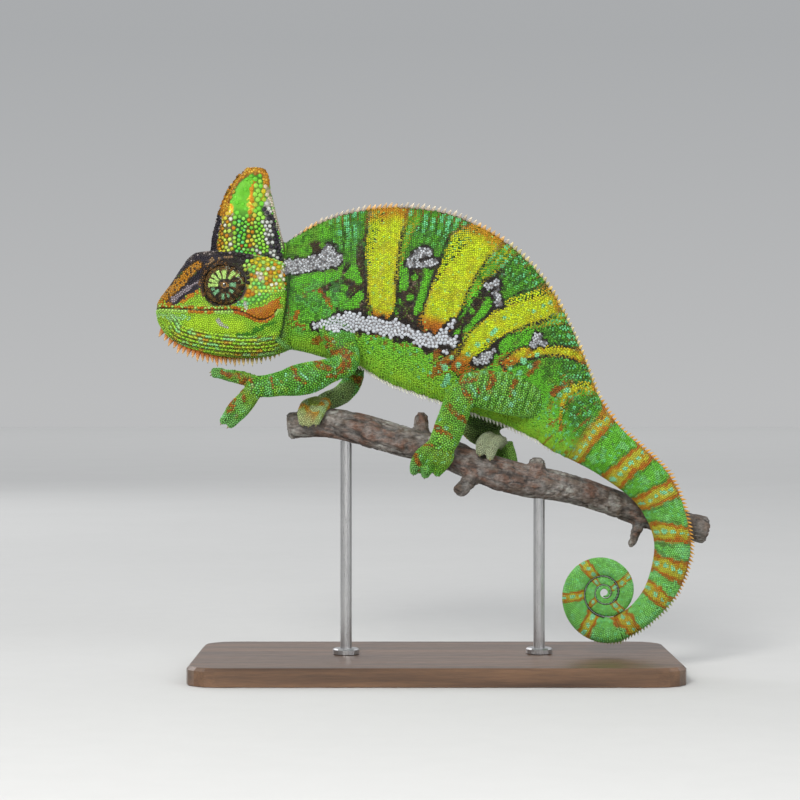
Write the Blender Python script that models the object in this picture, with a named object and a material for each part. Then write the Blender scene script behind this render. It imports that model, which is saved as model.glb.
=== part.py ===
"""Veiled chameleon, adult male, gripping a short perch on a display stand.

Still life-size model.  Metres, +Z up.  The animal faces -X and its left side faces -Y.
The base plate is centred on the origin with its underside at z = 0.
Tables and helper functions work in millimetres; MM turns them into metres.
"""
import bpy
import bmesh
import math
from mathutils import Vector

MM = 0.001

# ---------------------------------------------------------------- driving dimensions (mm)
GAP = 0.3                    # clearance between touching pieces
BODY_SIDES = 16              # points round the neck, trunk and hip
TAIL_SIDES = 11              # points round the tail
LIMB_SIDES, TOE_SIDES = 9, 6   # points round a limb and a toe
BODY_Y_SWAY = -3.0           # sideways shift of the hanging tail, towards the left side

BASE_LENGTH, BASE_WIDTH, BASE_THICK = 216.0, 108.0, 8.0
BASE_CORNER, BASE_BEVEL = 14.0, 1.5
ROD_RADIUS, ROD_FOOT_RADIUS, ROD_FOOT_THICK = 2.6, 6.0, 2.5
ROD_FRONT_X, ROD_REAR_X, ROD_SIDES = -40.0, 47.0, 14

EYE_X, EYE_Y, EYE_Z = -93.6, 9.6, 173.3        # centre of each turret
EYE_RX, EYE_RY, EYE_RZ = 9.3, 7.6, 8.9         # turret radii
PUPIL_RADIUS = 1.9                             # bare opening at the turret's tip

COIL_X, COIL_Z = 76.0, 36.0                    # pole of the tail coil
COIL_RADIUS = 16.65                            # centre radius where the coil begins, below the pole
COIL_RATIO = 0.475                             # each turn is this much of the one outside it
COIL_START = 70.5                              # degrees, clockwise from +X in side view
COIL_TURNS = 2.42
COIL_STEP = 20.0                               # degrees between rings

CREST_PITCH, CREST_HEIGHT, CREST_RADIUS = 3.6, 2.3, 1.0     # spikes along neck and trunk
REAR_PITCH, REAR_HEIGHT = 3.8, 1.7                           # smaller spikes along hip and tail
GULAR_COUNT, GULAR_FRONT, GULAR_REAR = 20, 3.4, 1.9    # spikes, first and last length
GULAR_START_X, GULAR_END_X = -122.4, -70.4

# Trunk and tail: back x, z; belly x, z; half width; how far the back is pinched to a ridge.
BODY = [
    (-67.6, 193.1, -64.9, 144.9, 11.5, 0.35),
    (-60.8, 197.6, -58.1, 143.6, 12.0, 0.42),
    (-50.9, 203.0, -47.2, 140.4, 13.0, 0.50),
    (-38.2, 207.2, -35.6, 138.2, 14.0, 0.55),
    (-22.5, 209.5, -22.5, 130.5, 14.8, 0.55),
    (-6.8, 209.2, -9.5, 125.5, 15.2, 0.55),
    (9.0, 205.9, 3.6, 121.0, 15.0, 0.55),
    (24.8, 198.5, 15.8, 116.5, 14.2, 0.55),
    (39.1, 188.1, 27.4, 112.5, 13.2, 0.50),
    (51.8, 173.2, 37.8, 108.0, 12.2, 0.45),
    (61.6, 154.8, 45.9, 104.0, 11.2, 0.40),
    (68.4, 138.6, 51.8, 99.9, 10.3, 0.35),
    (74.2, 123.3, 59.0, 96.3, 9.4, 0.30),
    (83.2, 110.2, 69.8, 90.9, 8.7, 0.25),
    (94.5, 100.1, 80.1, 84.2, 8.2, 0.20),
    (104.4, 90.0, 88.7, 77.4, 7.9, 0.20),
    (111.2, 76.5, 94.5, 69.3, 7.5, 0.15),
    (114.8, 59.0, 98.1, 59.0, 7.0, 0.15),
    (113.0, 45.9, 97.2, 48.6, 6.6, 0.10),
    (107.1, 33.3, 93.6, 37.8, 6.1, 0.10),
    (96.3, 22.0, 87.4, 29.8, 5.8, 0.10),
    (83.7, 14.3, 79.8, 25.2, 5.6, 0.10),
]
LAST = len(BODY) - 1
NECK_END, TRUNK_END, HIP_END, TAIL_BASE_END, TAIL_MIDDLE_END = 2.0, 8.4, 12.0, 15.6, float(LAST)

HEAD_RINGS, CASQUE_RINGS = 15, 10
# Head: x, top z, underside z, half width.
HEAD = [
    (-125.4, 164.2, 160.6, 2.2),
    (-124.2, 167.2, 156.0, 4.2),
    (-121.5, 170.8, 152.1, 6.4),
    (-118.4, 174.8, 149.4, 8.0),
    (-114.8, 180.2, 147.2, 9.3),
    (-110.2, 186.6, 145.3, 10.6),
    (-105.8, 190.6, 144.0, 11.5),
    (-100.4, 191.6, 142.4, 12.3),
    (-94.5, 191.0, 141.5, 13.0),
    (-87.8, 190.4, 141.1, 13.8),
    (-81.0, 189.6, 141.1, 14.4),
    (-74.2, 188.6, 141.8, 14.4),
    (-69.0, 187.0, 143.3, 13.6),
    (-64.0, 185.0, 145.6, 12.2),
]
# Half outline of a head section: height fraction, width fraction.
HEAD_SHAPE = [(0.0, 0.0), (0.02, 0.32), (0.10, 0.64), (0.27, 0.90), (0.46, 1.0),
              (0.66, 0.97), (0.84, 0.86), (0.97, 0.66), (1.0, 0.0)]
# Casque: z, front x, rear x, half thickness.
CASQUE = [
    (180.0, -104.0, -66.0, 9.6),
    (186.0, -102.6, -66.6, 8.8),
    (190.5, -101.6, -67.6, 7.8),
    (196.7, -100.9, -69.1, 6.4),
    (205.7, -98.5, -71.3, 5.0),
    (212.4, -96.3, -72.9, 4.1),
    (217.8, -93.6, -73.8, 3.5),
    (222.3, -90.7, -74.3, 2.9),
    (225.5, -87.3, -75.4, 2.3),
    (227.2, -83.7, -77.6, 1.5),
]
# Half outline of a casque section: length fraction from the front, thickness fraction.
CASQUE_SHAPE = [(0.0, 0.10), (0.10, 0.36), (0.20, 0.80), (0.28, 1.0), (0.42, 0.90),
                (0.65, 0.66), (0.85, 0.44), (1.0, 0.16)]
# Side-view lines that part the head from the casque and from the lower jaw.
CASQUE_LINE = [(-118.0, 184.5), (-106.5, 188.6), (-101.0, 189.3), (-90.0, 188.6),
               (-78.0, 186.6), (-60.0, 182.0)]
MOUTH_LINE = [(-130.0, 163.8), (-121.5, 163.6), (-114.8, 163.1), (-105.8, 162.5), (-90.0, 162.5),
              (-85.5, 161.6), (-82.4, 160.0), (-79.2, 158.4), (-75.6, 158.2), (-72.4, 160.0),
              (-69.0, 163.6), (-60.0, 173.0)]

# Limbs: x, y, z, radius across the limb in side view, radius towards the sides.
UPPER_ARM_LEFT = [(-46.0, -7.5, 158.0, 6.3, 4.0), (-44.0, -11.5, 151.0, 7.1, 4.4),
                  (-40.0, -14.5, 143.5, 6.4, 4.2), (-38.5, -16.0, 138.0, 5.1, 3.9)]
FOREARM_LEFT = [(-38.0, -16.0, 137.5, 4.4, 3.9), (-46.5, -17.0, 135.5, 5.5, 4.9),
                (-55.0, -17.5, 132.5, 7.1, 5.8), (-62.0, -17.5, 131.0, 6.9, 5.5),
                (-69.0, -17.0, 129.5, 5.5, 4.9), (-75.0, -16.5, 128.5, 5.0, 4.4),
                (-79.0, -16.0, 128.5, 4.9, 4.4)]
UPPER_ARM_RIGHT = [(-46.5, 7.5, 157.5, 6.3, 4.0), (-41.0, 11.5, 148.5, 6.4, 4.6),
                   (-37.0, 14.5, 140.5, 5.3, 4.4), (-36.5, 15.0, 135.0, 4.5, 3.9)]
FOREARM_RIGHT = [(-36.0, 15.0, 135.0, 4.3, 3.9), (-38.5, 13.0, 129.0, 4.8, 4.3),
                 (-43.0, 9.5, 124.5, 4.6, 4.2), (-47.5, 5.5, 122.5, 4.4, 4.1), (-50.5, 3.0, 121.0, 4.2, 4.0)]
THIGH_LEFT = [(44.0, -7.5, 121.5, 7.6, 5.0), (32.5, -12.5, 124.5, 9.4, 5.3),
              (22.0, -16.0, 127.0, 8.9, 5.3), (13.5, -17.0, 127.5, 7.6, 5.1)]
SHANK_LEFT = [(11.5, -17.5, 125.5, 6.4, 4.9), (8.5, -16.5, 117.0, 6.7, 4.6),
              (5.5, -14.5, 108.5, 6.9, 4.4), (3.0, -13.0, 103.0, 6.3, 4.2)]
THIGH_RIGHT = [(45.0, 7.5, 120.5, 7.3, 5.0), (33.5, 12.0, 117.5, 7.4, 5.1),
               (24.5, 15.0, 114.0, 6.6, 4.8), (17.5, 16.0, 111.5, 6.0, 4.6)]
SHANK_RIGHT = [(16.5, 16.0, 110.5, 5.6, 4.6), (20.0, 15.5, 107.5, 5.6, 4.5),
               (24.5, 13.5, 105.0, 5.0, 4.2), (28.0, 12.0, 104.0, 4.3, 3.9)]

# Toes: x, y, z, radius.  Hands have three inner and two outer toes, feet two inner and three outer.
HAND_LEFT_INNER = [
    [(-80.0, -14.5, 130.0, 3.0), (-85.5, -15.0, 132.0, 2.9), (-90.5, -15.0, 133.0, 2.6),
     (-95.0, -15.0, 134.0, 2.2), (-98.0, -15.0, 134.0, 1.6)],
    [(-80.0, -12.5, 130.5, 3.0), (-85.5, -12.0, 132.5, 2.9), (-91.0, -12.0, 133.5, 2.6),
     (-95.5, -11.5, 134.5, 2.2), (-98.5, -11.5, 135.0, 1.6)],
    [(-80.5, -11.0, 130.0, 3.0), (-85.5, -9.5, 132.0, 2.9), (-91.0, -8.5, 133.0, 2.6),
     (-95.5, -8.5, 134.0, 2.2), (-98.5, -8.5, 134.0, 1.6)],
]
HAND_LEFT_OUTER = [
    [(-80.5, -17.0, 127.5, 3.1), (-85.5, -17.5, 122.5, 3.0), (-90.0, -17.5, 118.0, 2.7),
     (-92.5, -17.5, 114.5, 2.1), (-94.0, -17.0, 113.0, 1.6)],
    [(-79.0, -16.5, 126.5, 3.1), (-83.0, -17.0, 121.0, 3.0), (-86.5, -17.0, 116.5, 2.7),
     (-89.5, -17.0, 113.0, 2.1), (-91.0, -17.0, 111.5, 1.6)],
]
HAND_RIGHT_INNER = [
    [(-52.0, -0.5, 121.0, 3.2), (-57.0, -5.5, 120.0, 2.9),
     (-59.0, -9.0, 116.0, 2.5), (-59.0, -9.5, 112.5, 1.7)],
    [(-51.0, -0.5, 121.0, 3.2), (-54.0, -6.0, 119.5, 2.9),
     (-56.0, -9.5, 116.0, 2.5), (-56.5, -9.5, 112.0, 1.7)],
    [(-49.5, -0.5, 121.0, 3.2), (-51.0, -6.0, 119.5, 2.9),
     (-52.5, -9.5, 115.5, 2.5), (-53.0, -10.0, 112.5, 1.7)],
]
HAND_RIGHT_OUTER = [
    [(-51.5, 3.0, 121.5, 3.2), (-54.5, 7.5, 119.5, 2.9),
     (-56.0, 9.5, 115.5, 2.5), (-57.0, 9.5, 111.5, 1.7)],
    [(-50.0, 3.0, 121.0, 3.2), (-51.0, 8.0, 119.0, 2.9),
     (-52.0, 10.0, 115.0, 2.5), (-53.0, 9.5, 111.0, 1.7)],
]
FOOT_LEFT_INNER = [
    [(4.0, -10.5, 104.0, 3.4), (4.5, -6.5, 108.5, 3.1), (4.5, 0.5, 110.5, 2.9),
     (3.5, 6.5, 108.5, 2.5), (3.5, 9.5, 104.0, 1.6)],
    [(7.0, -10.5, 104.0, 3.4), (8.5, -6.5, 107.5, 3.1), (9.0, 0.5, 109.0, 2.9),
     (9.0, 7.0, 106.0, 2.5), (8.5, 10.0, 102.0, 1.6)],
]
FOOT_LEFT_OUTER = [
    [(0.5, -12.5, 103.0, 3.6), (-5.0, -12.5, 98.5, 3.4),
     (-8.5, -11.0, 94.0, 2.8), (-9.5, -9.0, 90.5, 1.8)],
    [(3.0, -12.5, 102.0, 3.8), (-1.0, -12.5, 97.0, 3.7),
     (-3.5, -10.5, 92.0, 3.0), (-4.5, -8.5, 89.0, 1.8)],
    [(5.5, -12.0, 102.0, 3.8), (4.5, -12.5, 97.0, 3.6),
     (2.5, -11.0, 93.0, 2.9), (1.0, -8.5, 90.0, 1.8)],
]
FOOT_RIGHT_INNER = [
    [(28.0, 10.5, 104.0, 3.4), (25.0, 6.5, 105.0, 3.1), (22.0, -0.5, 104.0, 2.8),
     (20.5, -6.5, 101.5, 2.4), (20.0, -9.0, 99.0, 1.6)],
    [(30.0, 10.5, 103.5, 3.4), (28.5, 6.5, 103.5, 3.1), (26.5, -0.5, 102.5, 2.8),
     (25.0, -6.5, 100.0, 2.4), (24.5, -9.0, 97.0, 1.6)],
]
FOOT_RIGHT_OUTER = [
    [(27.5, 12.5, 103.0, 3.4), (27.5, 13.0, 98.0, 3.3),
     (27.0, 11.5, 92.5, 2.8), (27.0, 9.5, 88.5, 1.8)],
    [(30.0, 12.5, 103.0, 3.5), (31.0, 13.0, 97.5, 3.4),
     (31.5, 12.0, 92.0, 2.9), (31.5, 10.0, 87.5, 1.8)],
    [(32.0, 12.0, 102.5, 3.4), (34.0, 13.0, 97.0, 3.3),
     (35.5, 12.0, 91.0, 2.8), (36.0, 10.0, 86.5, 1.8)],
]
CLAW_LENGTH, CLAW_RADIUS = 2.6, 1.05

# Perch: x, y, z, radius.
PERCH = [
    (-66.6, 0.0, 110.7, 6.2), (-58.1, 0.0, 111.6, 6.4), (-47.2, 0.0, 112.0, 6.8), (-33.8, 0.0, 109.4, 7.3),
    (-18.0, 0.0, 104.6, 7.1), (-2.2, 0.0, 101.0, 7.1), (13.5, 0.0, 94.8, 7.3), (29.2, 0.5, 88.9, 7.7),
    (45.0, 2.0, 85.3, 7.5), (60.8, 5.5, 82.4, 6.9), (76.5, 9.8, 77.6, 6.4), (92.2, 12.6, 71.3, 6.4),
    (108.0, 14.6, 66.8, 6.3), (124.7, 16.6, 62.6, 6.5),
]
# Side stubs of the perch: start, end, start radius, end radius.
PERCH_STUBS = [
    ((-6.5, 2.0, 103.0), (-6.0, 3.0, 117.0), 5.2, 3.4),
    ((45.5, 1.0, 86.0), (46.0, -0.5, 96.5), 6.0, 4.0),
    ((19.0, -2.0, 90.0), (9.9, -10.6, 80.8), 4.6, 3.6),
    ((94.0, 11.0, 69.0), (88.4, 6.0, 55.6), 4.2, 2.2),
]


# ---------------------------------------------------------------- small tools
def blend(rows, t):
    """Smooth value of a table of equal-length rows at row number t."""
    last = len(rows) - 1
    t = min(max(t, 0.0), float(last))
    i = min(int(t), last - 1)
    f = t - i
    out = []
    for a, b, c, d in zip(rows[max(i - 1, 0)], rows[i], rows[i + 1], rows[min(i + 2, last)]):
        out.append(0.5 * (2 * b + (c - a) * f + (2 * a - 5 * b + 4 * c - d) * f * f
                          + (3 * b - a - 3 * c + d) * f ** 3))
    return out


def material(name, colour, rough, metal=0.0):
    mat = bpy.data.materials.get(name) or bpy.data.materials.new(name)
    mat.use_nodes = True
    shader = mat.node_tree.nodes["Principled BSDF"]
    shader.inputs["Base Color"].default_value = (*colour, 1.0)
    shader.inputs["Roughness"].default_value = rough
    shader.inputs["Metallic"].default_value = metal
    mat.diffuse_color = (*colour, 1.0)
    return mat


def add(name, points, faces):
    """Mesh object from millimetre points; outward faces are worked out."""
    mesh = bpy.data.meshes.new(name)
    mesh.from_pydata([Vector(p) * MM for p in points], [], faces)
    bm = bmesh.new()
    bm.from_mesh(mesh)
    bmesh.ops.recalc_face_normals(bm, faces=bm.faces)
    bm.to_mesh(mesh)
    bm.free()
    obj = bpy.data.objects.new(name, mesh)
    bpy.context.scene.collection.objects.link(obj)
    return obj


def loft(name, rings, tip=None):
    """Closed solid through equal rings, with flat ends or, at the last ring, a tip point."""
    n = len(rings[0])
    points = [p for ring in rings for p in ring]
    faces = []
    for r in range(len(rings) - 1):
        for i in range(n):
            j = (i + 1) % n
            faces.append((r * n + i, r * n + j, (r + 1) * n + j, (r + 1) * n + i))
    for end, ring, base in ((None, rings[0], 0), (tip, rings[-1], (len(rings) - 1) * n)):
        centre = end if end is not None else sum((Vector(p) for p in ring), Vector()) / n
        points.append(centre)
        k = len(points) - 1
        for i in range(n):
            faces.append((base + i, base + (i + 1) % n, k))
    return add(name, points, faces)


def boolean(obj, others, how):
    """Union, difference or intersection with helper objects, which are removed afterwards."""
    for other in others:
        mod = obj.modifiers.new("cut", "BOOLEAN")
        mod.operation = how
        mod.solver = "EXACT"
        mod.object = other
        bpy.context.view_layer.update()
        graph = bpy.context.evaluated_depsgraph_get()
        mesh = bpy.data.meshes.new_from_object(obj.evaluated_get(graph))
        obj.modifiers.remove(mod)
        old = obj.data
        obj.data = mesh
        bpy.data.meshes.remove(old)
        bpy.data.objects.remove(other)
    return obj


def settle(obj, mat, smooth=True):
    """Weld crumbs left by the cuts, turn faces into triangles and give the final material."""
    bm = bmesh.new()
    bm.from_mesh(obj.data)
    bmesh.ops.remove_doubles(bm, verts=bm.verts, dist=0.00002)
    bmesh.ops.dissolve_degenerate(bm, edges=bm.edges, dist=0.00002)
    bmesh.ops.triangulate(bm, faces=bm.faces)
    bmesh.ops.recalc_face_normals(bm, faces=bm.faces)
    bm.to_mesh(obj.data)
    bm.free()
    obj.data.materials.clear()
    obj.data.materials.append(mat)
    for poly in obj.data.polygons:
        poly.material_index = 0
        poly.use_smooth = smooth
    return obj


def prism(name, outline, half=45.0):
    """Side-view outline (x, z) run through the whole width: a cutter."""
    n = len(outline)
    points = [(x, -half, z) for x, z in outline] + [(x, half, z) for x, z in outline]
    faces = [tuple(range(n)), tuple(range(2 * n - 1, n - 1, -1))]
    for i in range(n):
        j = (i + 1) % n
        faces.append((i, j, n + j, n + i))
    return add(name, points, faces)


def oval(centre, one, two, r1, r2, sides):
    """Ring of points about a centre, r1 along one and r2 along two."""
    return [centre + one * (r1 * math.cos(2 * math.pi * i / sides)) + two * (r2 * math.sin(2 * math.pi * i / sides))
            for i in range(sides)]


def cone(base, aim, length, radius, sides=4, sink=0.9):
    """Points and faces of a small spike whose root is sunk into its part."""
    base, aim = Vector(base), Vector(aim).normalized()
    side = aim.orthogonal().normalized()
    other = aim.cross(side)
    low = base - aim * sink
    points = oval(low, side, other, radius, radius, sides) + [base + aim * length]
    faces = [(i, (i + 1) % sides, sides) for i in range(sides)] + [tuple(range(sides - 1, -1, -1))]
    return points, faces


def spikes(name, cones):
    """One helper object holding many separate spikes."""
    points, faces = [], []
    for pts, fcs in cones:
        k = len(points)
        points += pts
        faces += [tuple(k + i for i in f) for f in fcs]
    return add(name, points, faces)


# ---------------------------------------------------------------- trunk and tail
def body_row(s):
    """Back point, belly point, half width, pinch and sideways shift at station s."""
    if s <= LAST:
        bx, bz, vx, vz, w, pinch = blend(BODY, s)
    else:
        turn = (s - LAST) * COIL_STEP / 360.0
        start = math.radians(COIL_START)
        r = COIL_RADIUS * COIL_RATIO ** (turn + (COIL_START - 90.0) / 360.0)
        width = 2.0 * (r * (1 - COIL_RATIO) - GAP * 1.6) / (1 + COIL_RATIO)
        end = max(0.0, turn - (COIL_TURNS - 0.3)) / 0.3
        width *= math.sqrt(max(0.05, 1.0 - 0.75 * end * end))
        a = start + turn * 2 * math.pi
        ux, uz = math.cos(a), -math.sin(a)
        bx, bz = COIL_X + ux * (r + width / 2), COIL_Z + uz * (r + width / 2)
        vx, vz = COIL_X + ux * (r - width / 2), COIL_Z + uz * (r - width / 2)
        w, pinch = width * 0.5, 0.08
    k = min(max((s - 10.5) / 4.0, 0.0), 1.0)
    return bx, bz, vx, vz, w, pinch, BODY_Y_SWAY * k * k * (3 - 2 * k)


def body_ring(s, sides, grow=0.0):
    """Section of the body at station s: an oval with a narrow back and a soft belly keel."""
    bx, bz, vx, vz, w, pinch, y = body_row(s)
    top, low = Vector((bx, y, bz)), Vector((vx, y, vz))
    mid, up = (top + low) / 2, (top - low)
    h = up.length / 2 + grow
    up.normalize()
    w += grow
    ring = []
    for i in range(sides):
        a = 2 * math.pi * i / sides
        c, sn = math.cos(a), math.sin(a)
        lean = 1.0 - pinch * max(0.0, (1 + c) / 2) ** 2 - 0.25 * pinch * max(0.0, (1 - c) / 2) ** 4
        full = 1.0 + 0.10 * abs(math.sin(2 * a)) * (1 - pinch)
        ring.append(mid + up * (h * c) + Vector((0, w * sn * lean * full, 0)))
    return ring


def body_part(name, s0, s1, step, sides, grow=0.0, first=0.0, second=0.0):
    """Length of the body between stations, drawn back from each end by half the clearance."""
    def shift(s, mm):
        a, b = body_row(s), body_row(s + 0.02)
        run = math.hypot((b[0] + b[2] - a[0] - a[2]) / 2, (b[1] + b[3] - a[1] - a[3]) / 2)
        return s + 0.02 * mm / max(run, 1e-6)
    a, b = shift(s0, first), shift(s1, -second)
    count = max(2, int(round((b - a) / step)))
    rings = [body_ring(a + (b - a) * i / count, sides, grow) for i in range(count + 1)]
    return loft(name, rings)


def crest(name, s0, s1, pitch, height):
    """Row of spikes along the back between two stations, leaning to the rear."""
    cones, s, run = [], s0, 0.0
    previous = body_row(s0)
    while s < s1:
        now = body_row(s)
        run += math.hypot(now[0] - previous[0], now[1] - previous[1])
        previous = now
        if run >= pitch:
            run = 0.0
            ahead = body_row(s + 0.05)
            along = Vector((ahead[0] - now[0], 0, ahead[1] - now[1])).normalized()
            up = Vector((now[0] - now[2], 0, now[1] - now[3])).normalized()
            fade = min(1.0, 0.55 + (s1 - s)) * min(1.0, 0.55 + (s - s0))
            cones.append(cone((now[0], now[6], now[1]), up + along * 0.45, height * fade, CREST_RADIUS, sink=1.2))
        s += 0.01
    return spikes(name, cones)


# ---------------------------------------------------------------- limbs
def tube(name, rows, ref, sides, grow=0.0, fine=2, round_root=True):
    """Limb or toe along a table of centres; a fifth number makes the section oval."""
    count = (len(rows) - 1) * fine
    rings = []
    for k in range(count + 1):
        t = k / fine
        now = blend(rows, t)
        a, b = blend(rows, t - 0.1), blend(rows, t + 0.1)
        along = (Vector(b[:3]) - Vector(a[:3])).normalized()
        one = Vector(ref).cross(along).normalized()
        two = along.cross(one).normalized()
        r1 = now[3] + grow
        r2 = (now[4] if len(now) > 4 else now[3]) + grow
        ends = [(0.0, 1.0)]
        if k == 0 and round_root:
            ends = [(-0.6, 0.72), (0.0, 1.0)]
        if k == count:
            ends = [(0.0, 1.0), (0.6, 0.72)]
        for push, scale in ends:
            centre = Vector(now[:3]) + along * push * min(r1, r2)
            rings.append(oval(centre, one, two, r1 * scale, r2 * scale, sides))
    return loft(name, rings)


def claws(name, toes, curl):
    """One claw at the end of each toe, bent towards curl."""
    cones = []
    for rows in toes:
        tip, before = Vector(rows[-1][:3]), Vector(rows[-2][:3])
        along = (tip - before).normalized()
        r = rows[-1][3]
        cones.append(cone(tip + along * r * 0.45, along + Vector(curl) * 0.45, CLAW_LENGTH, CLAW_RADIUS))
    return spikes(name, cones)


def bundle(name, toes, ref, grow=0.0, with_claws=None):
    """Toes that are fused for most of their length."""
    parts = [tube(f"{name}_{i}", rows, ref, TOE_SIDES, grow, 1, False) for i, rows in enumerate(toes)]
    whole = boolean(parts[0], parts[1:], "UNION")
    if with_claws is not None:
        boolean(whole, [claws(name + "_claws", toes, with_claws)], "UNION")
    whole.name = name
    return whole


# ---------------------------------------------------------------- head
def head_solid(name, grow=0.0):
    rings = []
    for k in range(HEAD_RINGS):
        x, top, low, w = blend(HEAD, k * (len(HEAD) - 1) / (HEAD_RINGS - 1))
        half = [(x, w * f, low + (top - low) * h) for h, f in HEAD_SHAPE]
        rings.append(half + [(px, -py, pz) for px, py, pz in half[-2:0:-1]])
    return loft(name, rings)


def casque_solid(name):
    rings = []
    for k in range(CASQUE_RINGS):
        z, front, rear, t = blend(CASQUE, k * (len(CASQUE) - 1) / (CASQUE_RINGS - 1))
        half = [(front + (rear - front) * f, t * w, z) for f, w in CASQUE_SHAPE]
        rings.append(half + [(px, -py, pz) for px, py, pz in half[::-1]])
    return loft(name, rings)


def eye_solid(name, side, grow=0.0, sides=13):
    """Turret: a blunt cone of skin that ends in the small bare opening."""
    rings = []
    rows = [(-0.9, 0.45), (-0.6, 0.82), (-0.2, 0.98), (0.12, 1.0), (0.42, 0.92), (0.68, 0.74),
            (0.88, 0.47), (0.97, PUPIL_RADIUS / EYE_RX)]
    for out, scale in rows:
        centre = Vector((EYE_X, side * (EYE_Y + (EYE_RY + grow) * out), EYE_Z))
        rings.append(oval(centre, Vector((1, 0, 0)), Vector((0, 0, 1)),
                          (EYE_RX + grow) * scale, (EYE_RZ + grow) * scale, sides))
    return loft(name, rings, tip=(EYE_X, side * (EYE_Y + (EYE_RY + grow) * 1.03), EYE_Z))


def shifted(line, dz):
    return [(x, z + dz) for x, z in line]


def behind_neck(name):
    """Cutter for everything behind the plane where the head meets the neck."""
    bx, bz, vx, vz = body_row(0.0)[:4]
    slope = (bx - vx) / (bz - vz)
    return prism(name, [(bx - GAP + slope * 2.0, bz + 2.0), (vx - GAP - slope * 60.0, vz - 60.0),
                        (0.0, vz - 60.0), (0.0, bz + 2.0)])


def throat_height(x):
    """Height of the underside of the head at x."""
    for (x0, _, z0, _), (x1, _, z1, _) in zip(HEAD, HEAD[1:]):
        if x0 <= x <= x1:
            return z0 + (z1 - z0) * (x - x0) / (x1 - x0)
    return HEAD[-1][2]


def gular_spikes(name):
    """Comb of spikes under the chin and throat; the front ones are longest and lean forward."""
    cones = []
    for k in range(GULAR_COUNT):
        f = k / (GULAR_COUNT - 1)
        x = GULAR_START_X + (GULAR_END_X - GULAR_START_X) * f
        length = GULAR_FRONT + (GULAR_REAR - GULAR_FRONT) * f
        length *= (0.75, 1.0, 0.85)[k % 3]
        lean = -0.75 + 1.15 * min(1.0, f * 2.2)
        cones.append(cone((x, 0.0, throat_height(x) + 0.3), (lean, 0.0, -1.0), length, CREST_RADIUS, sink=1.2))
    return spikes(name, cones)


# ---------------------------------------------------------------- building
def below_line(name, line):
    """Cutter for everything under a side-view line."""
    return prism(name, [(-150.0, line[0][1])] + line + [(line[-1][0], 100.0), (-150.0, 100.0)])


def above_line(name, line):
    """Cutter for everything over a side-view line."""
    return prism(name, [(-150.0, line[0][1])] + line + [(line[-1][0], 260.0), (-150.0, 260.0)])


def build_head(skin, casque_skin, eye_skin):
    """Casque, upper head and lower jaw, parted along the casque and mouth lines, and the eye turrets."""
    half = GAP / 2
    casque = casque_solid("casque")
    boolean(casque, [above_line("above", shifted(CASQUE_LINE, half))], "INTERSECT")
    boolean(casque, [behind_neck("behind")], "DIFFERENCE")
    settle(casque, casque_skin)

    head = head_solid("head")
    cutters = [above_line("above", shifted(CASQUE_LINE, -half)), below_line("below", shifted(MOUTH_LINE, half)),
               behind_neck("behind"), eye_solid("socket_left", -1, GAP), eye_solid("socket_right", 1, GAP)]
    boolean(head, cutters, "DIFFERENCE")
    settle(head, skin)

    jaw = head_solid("lower_jaw")
    boolean(jaw, [below_line("below", shifted(MOUTH_LINE, -half))], "INTERSECT")
    boolean(jaw, [behind_neck("behind")], "DIFFERENCE")
    boolean(jaw, [gular_spikes("gular")], "UNION")
    settle(jaw, skin)

    settle(eye_solid("eye_left", -1), eye_skin)
    settle(eye_solid("eye_right", 1), eye_skin)


def build_body(skin):
    """Neck, trunk, hip and four lengths of tail, with spikes joined along the back."""
    half = GAP / 2
    turn = 360.0 / COIL_STEP
    curl_split, curl_end = LAST + round(turn), LAST + round(COIL_TURNS * turn)
    lengths = [
        ("neck", 0.0, NECK_END, 0.5, BODY_SIDES, (NECK_END - 1.2, NECK_END - 0.08, CREST_PITCH, CREST_HEIGHT)),
        ("trunk", NECK_END, TRUNK_END, 0.56, BODY_SIDES,
         (NECK_END, TRUNK_END - 0.06, CREST_PITCH, CREST_HEIGHT)),
        ("hip", TRUNK_END, HIP_END, 0.45, BODY_SIDES, (TRUNK_END, HIP_END - 0.1, REAR_PITCH, REAR_HEIGHT)),
        ("tail_base", HIP_END, TAIL_BASE_END, 0.45, TAIL_SIDES,
         (HIP_END + 0.1, TAIL_BASE_END - 0.12, REAR_PITCH, REAR_HEIGHT)),
        ("tail_middle", TAIL_BASE_END, TAIL_MIDDLE_END, 0.45, TAIL_SIDES,
         (TAIL_BASE_END, TAIL_BASE_END + 2.4, REAR_PITCH, REAR_HEIGHT)),
        ("tail_curl_outer", TAIL_MIDDLE_END, curl_split, 1.2, TAIL_SIDES, None),
        ("tail_curl_inner", curl_split, curl_end, 1.4, TAIL_SIDES - 2, None),
    ]
    for name, start, end, step, sides, row in lengths:
        first = 0.0 if name == "neck" else half
        second = 0.0 if name == "tail_curl_inner" else half
        piece = body_part(name, start, end, step, sides, first=first, second=second)
        if row:
            boolean(piece, [crest("crest", *row)], "UNION")
        settle(piece, skin)


def flank(name):
    return body_part(name, 0.0, HIP_END + 1.0, 0.5, BODY_SIDES, grow=GAP)


def build_limb(name, upper, lower, ref, skin, hand=False):
    """Upper and lower limb pieces with a rounded joint between them."""
    first, second = ("upper_arm_", "forearm_") if hand else ("thigh_", "shank_")
    top = tube(first + name, upper, ref, LIMB_SIDES)
    boolean(top, [flank("flank")], "DIFFERENCE")
    low = tube(second + name, lower, ref, LIMB_SIDES)
    cutters = [tube("joint", upper, ref, LIMB_SIDES, GAP), flank("flank"), perch_solid("perch_cutter", GAP)]
    boolean(low, cutters, "DIFFERENCE")
    settle(top, skin)
    settle(low, skin)


def build_grip(name, toes, ref, cutters, skin, curl):
    piece = bundle(name, toes, ref, with_claws=curl)
    boolean(piece, [make() for make in cutters], "DIFFERENCE")
    return settle(piece, skin)


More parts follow.
